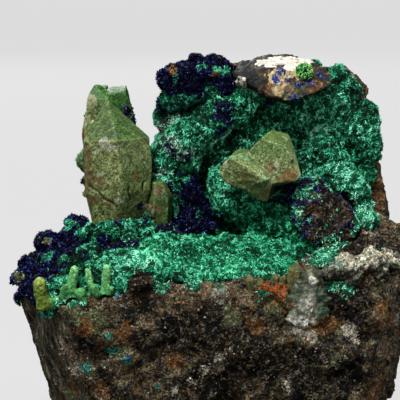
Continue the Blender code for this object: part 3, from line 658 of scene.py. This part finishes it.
def malachite_paint():
    """Malachite grains: each has its own tone, from black-green to mint, with painted shade and a partly
    painted highlight.
    """
    paint = Paint("malachite_grains", roughness=0.6, specular=0.1)
    # Painted shade: darker in the creases (height), in the shade patches and partly towards each grain's root
    # (tip). The crests in tone are lighter, partly a painted highlight.
    light = paint.total(-0.35, ("tip", 0.08), ("tone", 0.82), ("height", 0.46), ("mint", 0.26),
                        ("shade", -0.45))
    paint.base(light, (0.0004, 0.008, 0.004), (0.003, 0.05, 0.022), (0.011, 0.185, 0.083),
               (0.065, 0.5, 0.28), (0.38, 0.86, 0.63))
    paint.coat("deep", (0.0, 0.018, 0.006), (0.002, 0.11, 0.045), (0.015, 0.34, 0.14), (0.14, 0.72, 0.42))
    paint.coat("frost", (0.01, 0.03, 0.02), (0.07, 0.14, 0.1), (0.3, 0.48, 0.38), (0.75, 0.9, 0.8))
    paint.coat("olive", (0.02, 0.03, 0.008), (0.12, 0.15, 0.05), (0.4, 0.45, 0.24))
    paint.coat("lime", (0.002, 0.026, 0.004), (0.015, 0.16, 0.028), (0.08, 0.38, 0.08), (0.32, 0.62, 0.18))
    return paint.finish()


def azurite_paint():
    """Azurite grains: nearly black, with vivid blue grains here and there, partly the mineral's own blue and
    partly painted glints.
    """
    paint = Paint("azurite_crystals", roughness=0.35, specular=0.1)
    light = paint.total(0.0, ("tone", 0.85), ("tip", 0.15))
    paint.base(light, (0.0003, 0.0003, 0.001), (0.0006, 0.0006, 0.004), (0.0015, 0.002, 0.018),
               (0.008, 0.011, 0.11), (0.08, 0.11, 0.58))
    return paint.finish()


def azurite_ground_paint():
    """The crust that the azurite stands on, with green, olive and rust in places."""
    paint = Paint("azurite_ground", roughness=0.6, specular=0.08)
    fine = paint.grains(0.6)
    paint.base(fine[0], (0.0005, 0.0005, 0.002), (0.0015, 0.0015, 0.008), (0.005, 0.005, 0.045))
    for field in ("green", "rust", "olive"):
        paint.coat(field, *GRAINS[field], low=0.35, high=0.65, along=fine[1])
    return paint.finish(0.9, 0.4, (paint.noise(0.5), 0.7), (fine[3], -0.5))


def crystal_paint():
    """Large quartz crystals under a thin olive and green druse."""
    paint = Paint("coated_quartz", roughness=0.5, specular=0.22)
    fine = paint.grains(0.36)
    coarse = paint.grains(1.0, shake=0.8)
    clump = paint.noise(1.6, 4.0, 0.65, warp=0.4)
    # The ridges (edge) are lighter: partly a paler coating, partly a painted highlight
    light = paint.total(-0.62, (fine[0], 0.58), (coarse[0], 0.14), (paint.noise(2.4, 6.0, 0.7), 1.1),
                        ("edge", 0.3), ("pale", 0.12))
    paint.base(light, (0.02, 0.026, 0.008), (0.062, 0.08, 0.024), (0.14, 0.17, 0.058), (0.28, 0.33, 0.15),
               (0.58, 0.62, 0.42))
    paint.coat("green", (0.009, 0.026, 0.006), (0.032, 0.066, 0.013), (0.08, 0.145, 0.035), (0.32, 0.46, 0.2))
    paint.coat("vivid", (0.005, 0.026, 0.003), (0.022, 0.08, 0.012), (0.06, 0.16, 0.03), (0.22, 0.42, 0.13))
    paint.coat("mint", (0.03, 0.1, 0.04), (0.12, 0.32, 0.17), (0.45, 0.75, 0.5))
    stain = (0.03, 0.022, 0.008), (0.1, 0.08, 0.028), (0.27, 0.22, 0.1)
    frost = (0.1, 0.11, 0.07), (0.24, 0.25, 0.17), (0.55, 0.56, 0.44)
    rust = (0.04, 0.024, 0.006), (0.14, 0.085, 0.026), (0.32, 0.22, 0.08)
    for i, (field, colours) in enumerate((("stain", stain), ("frost", frost), ("rust", rust))):
        paint.pepper(field, colours, 0.75, 1.62, clump, fine[i])
    paint.coat("white", (0.1, 0.1, 0.05), (0.24, 0.25, 0.13), (0.46, 0.47, 0.3), low=0.3, high=0.8)
    paint.coat("crack", (0.006, 0.006, 0.004), low=0.3, high=0.8)
    paint.coat("azure", (0.004, 0.004, 0.02), low=0.4, high=0.7)
    return paint.finish(0.6, 0.22, (paint.noise(0.5, 5.0, 0.7), 0.8), (fine[3], -0.35))


def cap_paint():
    """The broken cap: white quartz on top, tan and rusty in front, a charcoal skin at its left end."""
    paint = Paint("milky_quartz_cap", roughness=0.6, specular=0.15)
    fine = paint.grains(0.42)
    coarse = paint.grains(1.2, shake=0.8)
    clump = paint.noise(1.8, 5.0, 0.65, warp=0.4)
    light = paint.total(-0.92, (fine[0], 0.4), (coarse[0], 0.15), (clump, 2.1), ("low", -0.15))
    paint.base(light, (0.003, 0.003, 0.0025), (0.012, 0.011, 0.008), (0.05, 0.035, 0.02), (0.22, 0.15, 0.08))
    for i, field in enumerate(("olive", "tan", "rust")):
        paint.pepper(field, GRAINS[field], 0.65, 1.45, clump, fine[i])
    streaks = paint.noise(0.6, 4.0, 0.65, place=paint.stretched((4.0, 1.0, 0.6)))
    coal = paint.ramp(streaks, (0.003, 0.003, 0.003), (0.012, 0.013, 0.013), (0.04, 0.044, 0.042),
                      (0.2, 0.22, 0.2), low=0.4, high=0.9)
    paint.coat("coal", coal, low=0.3, high=0.6)
    cream = (0.12, 0.09, 0.045), (0.34, 0.26, 0.13), (0.6, 0.52, 0.36)
    white = (0.2, 0.18, 0.13), (0.52, 0.49, 0.42), (0.76, 0.74, 0.68)
    for field, colours in (("cream", cream), ("white", white)):
        paint.coat(paint.total(-0.6, (field, 1.0), (clump, 1.2)), *colours, low=0.3, high=0.55)
    paint.coat("azure", *GRAINS["blue"], low=0.4, high=0.6, along=fine[1])
    return paint.finish(0.8, 0.3, (paint.noise(0.6, 5.0, 0.7), 0.8), (fine[3], -0.4))


def window_paint():
    """Grey quartz that light passes into, stained green and brown round its rim."""
    paint = Paint("window_quartz", roughness=0.55, specular=0.25)
    paint.set(paint.surface.inputs["IOR"], 1.54)
    paint.set(paint.surface.inputs["Transmission Weight"], 0.25)
    fine = paint.grains(0.5)
    coarse = paint.grains(1.3, shake=0.8)
    clouds = paint.noise(2.0, 6.0, 0.68, warp=0.5)
    light = paint.total(-1.1, (clouds, 2.3), (fine[0], 0.3), (coarse[0], 0.25), ("pale", 0.5))
    paint.base(light, (0.02, 0.027, 0.014), (0.09, 0.105, 0.068), (0.22, 0.235, 0.17), (0.8, 0.74, 0.68))
    for i, (field, colours) in enumerate((("rim", "olive"), ("green", "moss"), ("rust", "rust"))):
        paint.pepper(field, GRAINS[colours], 0.75, 1.42, clouds, fine[i])
    absorb = paint.node("ShaderNodeVolumeAbsorption", {"Color": (0.8, 0.84, 0.74), "Density": 90.0})
    output = next(node for node in paint.tree.nodes if node.type == "OUTPUT_MATERIAL")
    paint.set(output.inputs["Volume"], absorb.outputs[0])
    return paint.finish(0.5, 0.25, (paint.noise(0.6, 4.0, 0.7), 0.7), (fine[3], -0.3))


def seam_paint():
    """Sugary quartz, grey-blue to the left and cream to the right, with green and rusty stains."""
    paint = Paint("seam_quartz", roughness=0.45, specular=0.35)
    fine = paint.grains(0.5)
    coarse = paint.grains(1.3, shake=0.7)
    clump = paint.noise(1.8, 4.0, 0.65)
    light = paint.total(-0.98, (fine[0], 0.45), (coarse[0], 0.5), (clump, 1.8), ("cream", 0.2))
    paint.base(light, (0.015, 0.018, 0.01), (0.1, 0.115, 0.075), (0.36, 0.37, 0.26), (0.92, 0.92, 0.8))
    for i, field in enumerate(("green", "blue", "tan", "dark")):
        paint.pepper(field, GRAINS[field], 0.6, 1.42, clump, fine[i % 3], along=fine[(i + 1) % 3])
    return paint.finish(0.8, 0.4, (coarse[0], 0.5), (fine[3], -0.5), (paint.noise(0.7), 0.5))


def finger_paint():
    """Fine-grained green fingers, olive-yellow on the left one, and lighter towards the tips."""
    paint = Paint("malachite_fingers", roughness=0.65, specular=0.2)
    fine = paint.grains(0.32)
    light = paint.total(-0.42, (fine[0], 0.4), (paint.noise(0.9, 4.0, 0.7), 1.2), ("tip", 0.25))
    paint.base(light, (0.006, 0.04, 0.012), (0.03, 0.15, 0.045), (0.1, 0.34, 0.1), (0.42, 0.7, 0.4))
    paint.coat("yellow", (0.02, 0.04, 0.004), (0.085, 0.14, 0.016), (0.22, 0.27, 0.045), (0.48, 0.52, 0.18))
    paint.coat("mint", (0.004, 0.05, 0.02), (0.03, 0.22, 0.11), (0.35, 0.75, 0.5))
    return paint.finish(0.7, 0.22, (paint.noise(0.45, 4.0), 0.7), (fine[3], -0.4))


def crumb_paint():
    """Grains on the broken faces, from black through tan to white."""
    paint = Paint("rock_grains", roughness=0.5, specular=0.4)
    paint.base("tone", (0.006, 0.006, 0.006), (0.04, 0.032, 0.024), (0.19, 0.14, 0.085), (0.75, 0.7, 0.58))
    paint.coat("rust", *GRAINS["rust"])
    return paint.finish()


# --- the pieces


def broken_rock(node, name, voxel, seed):
    """Host rock: chipped broken faces with a flat underside, and a smoother left side."""
    skin = Skin(node, voxel)
    at = skin.points
    standing = rise(at[:, 2], 0.3, 2.5)
    face = rise(-at[:, 0] - 0.12 * at[:, 2], 33, 38) * rise(-at[:, 2], -46, -42)
    height = (
        1.4 * chips(at, 11.0, seed) + 0.7 * chips(at, 4.6, seed + 20) + 0.4 * cloud(at, 4.0, seed + 40)
        + 0.26 * chips(at, 2.1, seed + 60) + 0.14 * noise(at, 1.2, seed + 50) - 0.4
    )
    skin.shape(height * standing * (1 - 0.6 * face))
    skin.fields = patch_fields(skin.ground, ON_ROCK) | {"face": face}
    if node == "host_shard":
        skin.fields["coal"] = skin.even(0.8)
    skin.piece(name, rock)
    return skin


def malachite_crust():
    """The velvety lining of the cavity: round knobs, smoother on the floor of the basin."""
    skin = Skin("malachite_crust", 0.53)
    at = skin.points
    fields = patch_fields(at, ON_CRUST)
    floor = fields.pop("floor")
    bent = warped(at, 4.0, 1.4, 71)
    lumps = domes(bent, 8.0, 81)
    knobs = domes(bent, 3.8, 101)
    small = domes(warped(at, 1.6, 0.4, 75), 1.8, 131)
    crest = crests(at)
    height = (1 - 0.7 * floor) * (2.2 * lumps + 1.7 * knobs - 1.6) + (1 - 0.4 * floor) * 0.95 * small - 0.2
    skin.shape(height + 0.6 * cloud(at, 6, 151) - 0.9 * fields["shade"] + 0.25 * crest)
    bulge = (1 - 0.6 * floor) * (0.4 * lumps + 0.5 * knobs) + 0.3 * small + 0.4 * floor
    front = rise(-at[:, 1], 18, 30)
    # height is 1 on the knobs and 0 in the creases. The paints use it and shade for painted shade, darker in
    # the creases, and crest for lighter ridges, partly a painted highlight
    skin.fields = fields | {
        "crest": crest, "height": rise(bulge, 0.2, 1.05), "deep": np.maximum(fields["deep"], 0.75 * floor),
        "mint": np.clip(fields["mint"] + floor * (0.08 + 0.4 * front), 0, 1),
    }
    skin.piece("malachite_crust_velvet", velvet)
    return skin


def azurite_cluster(part, seed, patches):
    """A crust of small dark knobs for azurite to stand on."""
    skin = Skin(f"azurite_{part}", 0.5)
    at = skin.points
    bent = warped(at, 3.0, 0.8, seed + 90)
    skin.shape(1.6 * domes(bent, 3.6, seed) + 0.8 * domes(bent, 1.7, seed + 30)
               + 0.5 * noise(at, 5, seed + 60) - 1.8)
    skin.fields = {"rust": skin.even(0), "olive": skin.even(0)} | patch_fields(skin.ground, patches)
    skin.piece(f"azurite_{part}_crust", azurite_ground)
    return skin


RIDGE_ANGLE = math.radians(24)  # an edge that turns by more than this is a ridge
RIDGE_REACH = 0.42  # how far to each side a ridge shows


def edge_field(skin):
    """1 on the ridges of a faceted solid, falling to 0 a little way off."""
    solid = bmesh.new()
    solid.from_mesh(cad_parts[skin.node].data)
    bmesh.ops.remove_doubles(solid, verts=solid.verts, dist=0.001 * MM)
    found = skin.even(FAR)
    for edge in solid.edges:
        if edge.calc_face_angle(0) < RIDGE_ANGLE:
            continue
        line = np.array([end.co for end in edge.verts]) / MM
        reach = edge.calc_length() / MM / 2 + 2 * RIDGE_REACH
        close = np.linalg.norm(skin.ground - line.mean(axis=0), axis=1) < reach
        found[close] = np.minimum(found[close], off_line(skin.ground[close], line))
    ragged = 0.75 + 0.5 * noise(skin.ground, 1.3, 291)
    return np.clip(1 - found / RIDGE_REACH, 0, 1) * np.clip(ragged, 0, 1)


def coated_crystal(part, seed):
    """The tall pair of crystals or the stub beside them, under their olive druse."""
    skin = Skin(f"quartz_{part}", 0.42, faceted=True)
    at = skin.ground
    off_crack = np.min([off_line(at[:, (0, 2)], line) for line in CRACKS], axis=0)
    groove = np.clip(1 - off_crack / 0.5, 0, 1) * (skin.normals[:, 1] < -0.2)
    fields = patch_fields(at, ON_CRYSTALS)
    skin.lumps = fields.pop("lumps")
    edge = edge_field(skin)
    skin.shape(0.12 * cloud(at, 2.4, seed) + 0.12 * noise(at, 0.9, seed + 9) - 0.55 * groove
               + skin.lumps * (0.4 + 0.7 * domes(at, 1.4, seed + 15)) + 0.05)
    tip = rise(at[:, 2], 89.0, 91.5) * rise(-at[:, 1], -3, 1)
    right = rise(at[:, 0] + 0.4 * at[:, 1], -32.5, -30.5)
    skin.fields = fields | {
        "vivid": fields["vivid"] * rise(at[:, 1], 1.0, 2.2), "edge": edge * rise(at[:, 2], 62, 70),
        "green": np.clip(0.8 * tip + 0.4 * right + 0.5 * (part == "stub"), 0, 1), "crack": groove,
    }
    skin.piece(f"quartz_{part}_druse", crystal)
    return skin


def twin_crystal():
    """The twinned crystal that lies in the middle of the wall."""
    skin = Skin("quartz_twin", 0.42, faceted=True)
    at = skin.ground
    edge = edge_field(skin)
    skin.shape(0.12 * cloud(at, 2.2, 261) + 0.12 * noise(at, 0.8, 271) + 0.05)
    fields = patch_fields(at, ON_TWIN)
    green = np.clip(0.2 + 0.6 * rise(at[:, 2], 82, 86) - 0.5 * fields["frost"], 0, 1)
    skin.fields = fields | {"edge": edge, "green": green, "pale": skin.even(1)}
    skin.piece("quartz_twin_druse", crystal)


def broken_cap(part, seed):
    """The cap of milky quartz on the wall's top, or the chip in front of it."""
    skin = Skin(f"quartz_{part}", 0.45)
    at = skin.ground
    skin.shape(0.5 * chips(at, 3.2, seed) + 0.3 * chips(at, 1.4, seed + 20)
               + 0.15 * noise(at, 0.9, seed + 30) - 0.1)
    skin.fields = patch_fields(at, ON_CAP) | {"low": rise(-at[:, 2], -105.5, -102)}
    skin.fields["azure"] *= noise(warped(at, 1.5, 0.8, 685), 1.4, 687) > -0.2
    if part == "chip":
        skin.fields |= {"tan": skin.even(0.6), "white": skin.even(0.42), "coal": skin.even(0)}
    skin.piece(f"quartz_{part}_break", cap)
    return skin


ROCK_FRONT = -34.8  # the front face of the rock lies here, in y


def grey_window():
    """The grey quartz in the front face of the rock, cut back to it."""
    skin = Skin("quartz_lens", 0.4)
    at = skin.ground
    skin.shape(1.1 * chips(at, 2.8, 351) + 0.45 * chips(at, 1.2, 361) + 0.1 * noise(at, 0.8, 365) + 0.3)
    skin.points[:, 1] -= 0.6 * np.minimum(skin.points[:, 1] - ROCK_FRONT, 0)
    skin.fields = patch_fields(at, ON_WINDOW)
    rim = rise(off_centre(at) + 0.15 * noise(at, 2.2, 355), 0.5, 0.9)
    skin.fields["rim"] = rim * (1 - skin.fields["pale"])
    skin.piece("quartz_window", window)


def seam_quartz():
    """The sugary seam along the rock's right shoulder."""
    skin = Skin("quartz_seam", 0.42)
    at = skin.ground
    hollows = cloud(at, 3.6, 375)
    skin.shape(1.7 * chips(at, 3.4, 371) + 0.5 * chips(at, 1.2, 381) - 0.9 * np.clip(hollows, 0, 1) + 0.4)
    left = rise(-at[:, 0], -38, -34)
    skin.fields = {
        "cream": 1 - left, "blue": 0.3 * left, "green": 0.5 * left + 0.4 * (cloud(at, 2.6, 377) > 0.35),
        "tan": 0.5 * (1 - left), "dark": np.maximum(rise(-at[:, 2], -58, -55.5), rise(hollows, 0.0, 0.3)),
    }
    skin.piece("quartz_seam_sugar", seam)


def finger_group():
    """Rounded malachite fingers at the left of the lip."""
    skin = Skin("malachite_fingers", 0.28)
    at = skin.ground
    skin.shape(0.14 * cloud(at, 1.6, 401) + 0.14 * noise(at, 0.7, 411) + 0.05)
    skin.fields = {
        "tip": rise(at[:, 2], 49, 57), "yellow": 0.95 * rise(-at[:, 0], 44.2, 46),
        "mint": rise(-at[:, 2], -50.0, -47.5) * rise(at[:, 0], -44, -42), "height": rise(at[:, 2], 46, 52),
    }
    skin.piece("malachite_finger_group", finger)
    return skin


def nodule():
    """The vivid green knob on the cap."""
    skin = Skin("malachite_nodule", 0.28)
    at = skin.ground
    knobs = domes(at, 1.3, 421)
    skin.shape(0.6 * knobs + 0.2 * noise(at, 0.8, 431) - 0.3)
    # With the velvet paint the knobs are lighter on top and darker between them: painted shade and a painted
    # highlight
    skin.fields = {"height": knobs, "crest": knobs}
    skin.piece("malachite_knob", velvet)
    return skin


# Part of the way from foot to tip, and how wide a small crystal is there
LIP_PROFILE = ((-0.3, 1.0), (0.25, 1.0), (0.55, 0.94), (0.8, 0.47), (0.93, 0.17))
LIP_SHOULDER = LIP_PROFILE[2][0]
LIP_STEPS = 12  # six corners and six mid-faces


def lip_crystals():
    """Small coated crystals that stand along the lip, six-sided with pointed ends."""
    points, triangles, edges = [], [], []
    for foot, tip, radius in LIP_CRYSTALS:
        foot, tip = np.array(foot, float), np.array(tip, float)
        axis = unit((tip - foot)[None])[0]
        side = unit(np.cross(axis, (0.2, 1, 0.1))[None])[0]
        start = len(points)
        for along, wide in LIP_PROFILE:
            for corner in range(LIP_STEPS):
                turn = math.radians(30 * corner + 10)
                # A mid-face point lies nearer to the axis than a corner
                out = radius * wide * (1 if corner % 2 == 0 else math.cos(math.radians(30)))
                around = math.cos(turn) * side + math.sin(turn) * np.cross(axis, side)
                points.append(foot + along * (tip - foot) + out * around)
                edges.append(1.0 if corner % 2 == 0 or along == LIP_SHOULDER else 0.0)
        points += [foot - 0.3 * (tip - foot), tip]
        edges += [0.0, 1.0]
        last = LIP_STEPS * (len(LIP_PROFILE) - 1)
        under = start + last + LIP_STEPS
        for corner in range(LIP_STEPS):
            after = (corner + 1) % LIP_STEPS
            for ring in range(0, last, LIP_STEPS):
                a, b = start + ring + corner, start + ring + after
                triangles += [(a, b, b + LIP_STEPS), (a, b + LIP_STEPS, a + LIP_STEPS)]
            triangles.append((under, start + after, start + corner))
            triangles.append((start + last + corner, start + last + after, under + 1))
    at = np.array(points)
    # edge lightens the corners, the shoulders and the tips: partly a paler coating, partly a painted
    # highlight
    fields = {"edge": 0.3 * np.array(edges), "stain": np.full(len(at), 0.8), "green": np.full(len(at), 1.0)}
    piece_from("lip_crystals", at, np.array(triangles), fields, crystal, smooth=False)


def two_tones(random, count, bright_share):
    """Most grains dark and this share of them bright."""
    bright = random.random(count) < bright_share
    return np.where(bright, random.uniform(0.62, 1, count), random.uniform(0, 0.45, count))


# The fields that colour malachite grains, and their usual values
MALACHITE_TONES = {"height": 0.6, "mint": 0, "deep": 0, "olive": 0, "shade": 0, "frost": 0, "lime": 0}


def malachite_field(name, skin, density, share, seed, length=0.62, **tones):
    """Sows malachite in curls. tones gives other values for some fields: one, or one for each skin point."""
    random = np.random.default_rng(seed)
    index, points, normals, count = sow(skin, density, share, seed)
    leaning = curled(points, normals, seed + 1, random)
    crest = crests(skin.ground[index])
    lengths = length * random.uniform(0.6, 1.2, count) * (0.8 + 0.4 * crest)
    widths = 0.17 * random.uniform(0.75, 1.3, count)
    body = grow(points, leaning, SPIKE, lengths, widths, random, bend=0.2)
    # tone: lighter on the crests, partly a painted highlight, plus two tones at random
    fields = {"tone": 0.78 * crest + 0.34 * two_tones(random, count, 0.45)}
    for field, usual in MALACHITE_TONES.items():
        fields[field] = (skin.even(0) + tones.get(field, usual))[index]
    sown_piece(name, body, fields, malachite)


def azurite_field(name, skin, density, share, seed, size=0.5, bright=0.13):
    """Sows stubby azurite grains with flat faces."""
    random = np.random.default_rng(seed)
    _, points, normals, count = sow(skin, density, share, seed)
    leaning = unit(normals + 0.6 * random.normal(size=normals.shape))
    lengths = size * random.uniform(0.6, 1.7, count)
    body = grow(points, leaning, SPIKE, lengths, size * random.uniform(0.45, 0.9, count), random, taper=0.7)
    # bright is the share of vivid blue grains: partly the mineral's own blue, partly painted glints
    sown_piece(name, body, {"tone": two_tones(random, count, bright)}, azurite)


def crumb_field(name, skin, density, share, seed, size=0.42):
    """Sows angular grains on a broken face."""
    random = np.random.default_rng(seed)
    index, points, normals, count = sow(skin, density, share, seed)
    leaning = unit(normals + 0.5 * random.normal(size=normals.shape))
    lengths = size * random.uniform(0.4, 1.4, count)
    body = grow(points, leaning, CRUMB, lengths, lengths * random.uniform(0.6, 1.1, count), random, taper=0.8)
    light = 0.25 + 0.45 * random.random(count) ** 1.3 + 0.2 * skin.fields["pale"][index]
    fields = {"tone": np.clip(light, 0, 1), "rust": skin.fields["rust"][index]}
    sown_piece(name, body, fields, crumbs)


rock, velvet, malachite, azurite = rock_paint(), velvet_paint(), malachite_paint(), azurite_paint()
azurite_ground, crystal, cap, window = azurite_ground_paint(), crystal_paint(), cap_paint(), window_paint()
seam, finger, crumbs = seam_paint(), finger_paint(), crumb_paint()

matrix_skin = broken_rock("matrix", "matrix_rock", 0.8, 1)
shard_skin = broken_rock("host_shard", "host_shard_rock", 0.45, 61)
crust_skin = malachite_crust()
flank_skin = azurite_cluster("flank", 501, ON_FLANK)
crown_skin = azurite_cluster("crown", 531, ON_CROWN)
streak_skin = azurite_cluster("streak", 561, ON_STREAK)
pair_skin = coated_crystal("pair", 201)
stub_skin = coated_crystal("stub", 231)
twin_crystal()
cap_skin = broken_cap("cap", 301)
broken_cap("chip", 331)
grey_window()
seam_quartz()
finger_skin = finger_group()
knob_skin = nodule()
lip_crystals()

on_crust = crust_skin.fields
left_half = crust_skin.ground[:, 0] < 6
cover = (1 - 0.9 * on_crust["azure"]) * (0.5 + 0.5 * on_crust["height"])
tones = {field: on_crust[field] for field in ("mint", "deep", "height", "shade", "frost")}
for side, chosen in (("left", left_half), ("right", ~left_half)):
    malachite_field(f"malachite_grains_{side}", crust_skin, 9.5, chosen * cover, 601, **tones)
azurite_field("azurite_on_crust", crust_skin, 7, on_crust["azure"], 621)

for skin, seed in ((flank_skin, 641), (crown_skin, 651), (streak_skin, 661)):
    part = skin.node.removeprefix("azurite_")
    green = skin.fields["green"]
    other = np.maximum(skin.fields["rust"], skin.fields["olive"])
    azurite_field(f"azurite_grains_{part}", skin, 8, (1 - 0.9 * green) * (1 - 0.8 * other), seed)
    # Painted shade on the crown's underside: its malachite is darker below about 100 mm
    under = rise(-skin.ground[:, 2], -103, -98) * (part == "crown")
    malachite_field(f"malachite_on_{part}", skin, 5, np.clip(green + 0.04, 0, 1), seed + 5, shade=under)

on_shard = shard_skin.ground
mixed = cloud(on_shard, 2.2, 675)
rim = rise(off_centre(on_shard) + 0.8 * cloud(on_shard, 5.0, 679), 0.6, 0.85)
border = np.clip(rim + (cloud(on_shard, 1.6, 678) > 0.4), 0, 1)
azurite_field("azurite_on_shard", shard_skin, 7, border * (mixed > 0.05), 671, size=0.42, bright=0.4)
malachite_field("malachite_on_shard", shard_skin, 8, border * (mixed < 0.0), 676, mint=0.7)
azurite_field("azurite_on_cap", cap_skin, 8, cap_skin.fields["azure"], 681, size=0.42, bright=0.7)
azurite_field("azurite_on_crystals", pair_skin, 5, pair_skin.fields["azure"], 686)
malachite_field("malachite_on_crystals", pair_skin, 6, pair_skin.lumps, 691, length=0.6, olive=0.4)
malachite_field("malachite_on_stub", stub_skin, 6, stub_skin.lumps, 696, length=0.8)
on_rock = matrix_skin.fields
malachite_field("malachite_on_rock", matrix_skin, 6, on_rock["green"], 706, mint=0.5)
under_fingers = finger_skin.fields["mint"]
malachite_field("malachite_under_fingers", finger_skin, 7, under_fingers, 711, length=0.8, mint=0.9)
malachite_field("malachite_on_knob", knob_skin, 7, knob_skin.even(1), 716, length=0.6, lime=1, mint=1)
crumb_field("pebbly_grains", matrix_skin, 1.3, np.clip(0.07 + on_rock["tan"] + on_rock["pale"], 0, 1), 701)

# --- stage, light and camera

STAGE_GREY = (0.74, 0.74, 0.74)
FLOOR_SHARE = 0.045  # the floor glows in the stage grey, and reflects only this share of it
FLOOR_GLOW = 0.96
TARGET = Vector((-3.4, 0.0, 70.0)) * MM
CAMERA_DISTANCE = 400.0 * MM
CAMERA_ELEVATION = math.radians(12)


def sweep():
    """A pale floor that rises into a backdrop behind the specimen."""
    radius, reach, height, half_width, steps = 500.0, 1500.0, 3000.0, 2000.0, 12
    turns = [i * math.pi / 2 / steps for i in range(steps + 1)]
    bend = [(reach + radius * math.sin(turn), radius * (1 - math.cos(turn))) for turn in turns]
    profile = [(-reach, 0.0), *bend, (reach + radius, height)]
    points = [Vector((x, y, z)) * MM for y, z in profile for x in (-half_width, half_width)]
    faces = [(2 * i, 2 * i + 1, 2 * i + 3, 2 * i + 2) for i in range(len(profile) - 1)]
    mesh = bpy.data.meshes.new("floor")
    mesh.from_pydata(points, [], faces, shade_flat=False)
    paint = Paint("pale_sweep", roughness=0.9, specular=0.0)
    paint.colour = tuple(FLOOR_SHARE * shade for shade in STAGE_GREY)
    paint.set(paint.surface.inputs["Emission Color"], STAGE_GREY)
    paint.set(paint.surface.inputs["Emission Strength"], FLOOR_GLOW)
    mesh.materials.append(paint.finish())
    floor = placed("floor", mesh)
    floor.visible_diffuse = False
    floor.visible_glossy = False


def aimed(name, data, location):
    """An object that faces the specimen from here."""
    made = placed(name, data)
    made.location = location
    made.rotation_euler = (TARGET - made.location).to_track_quat("-Z", "Y").to_euler()
    return made


def softbox(name, place, size, watts):
    data = bpy.data.lights.new(name, "AREA")
    data.size = size * MM
    data.energy = watts
    aimed(name, data, Vector(place) * MM)


def camera():
    data = bpy.data.cameras.new("camera")
    data.lens = 120
    data.sensor_width = 36
    data.clip_start = 0.01
    back = Vector((0, -math.cos(CAMERA_ELEVATION), math.sin(CAMERA_ELEVATION)))
    bpy.context.scene.camera = aimed("camera", data, TARGET + CAMERA_DISTANCE * back)


def studio_air():
    """Faint light from all round."""
    world = bpy.data.worlds.new("studio")
    world.use_nodes = True
    inputs = world.node_tree.nodes["Background"].inputs
    inputs["Color"].default_value = (0.9, 0.95, 1.0, 1)
    inputs["Strength"].default_value = 0.06
    bpy.context.scene.world = world


sweep()
softbox("key", (-170, -360, 800), 200, 13.0)
softbox("fill", (-300, -1000, 250), 500, 3.4)
softbox("right", (900, 150, 450), 500, 6.0)
softbox("back", (-150, 950, 500), 600, 9.0)
studio_air()
camera()
bpy.context.scene.view_settings.view_transform = "Standard"
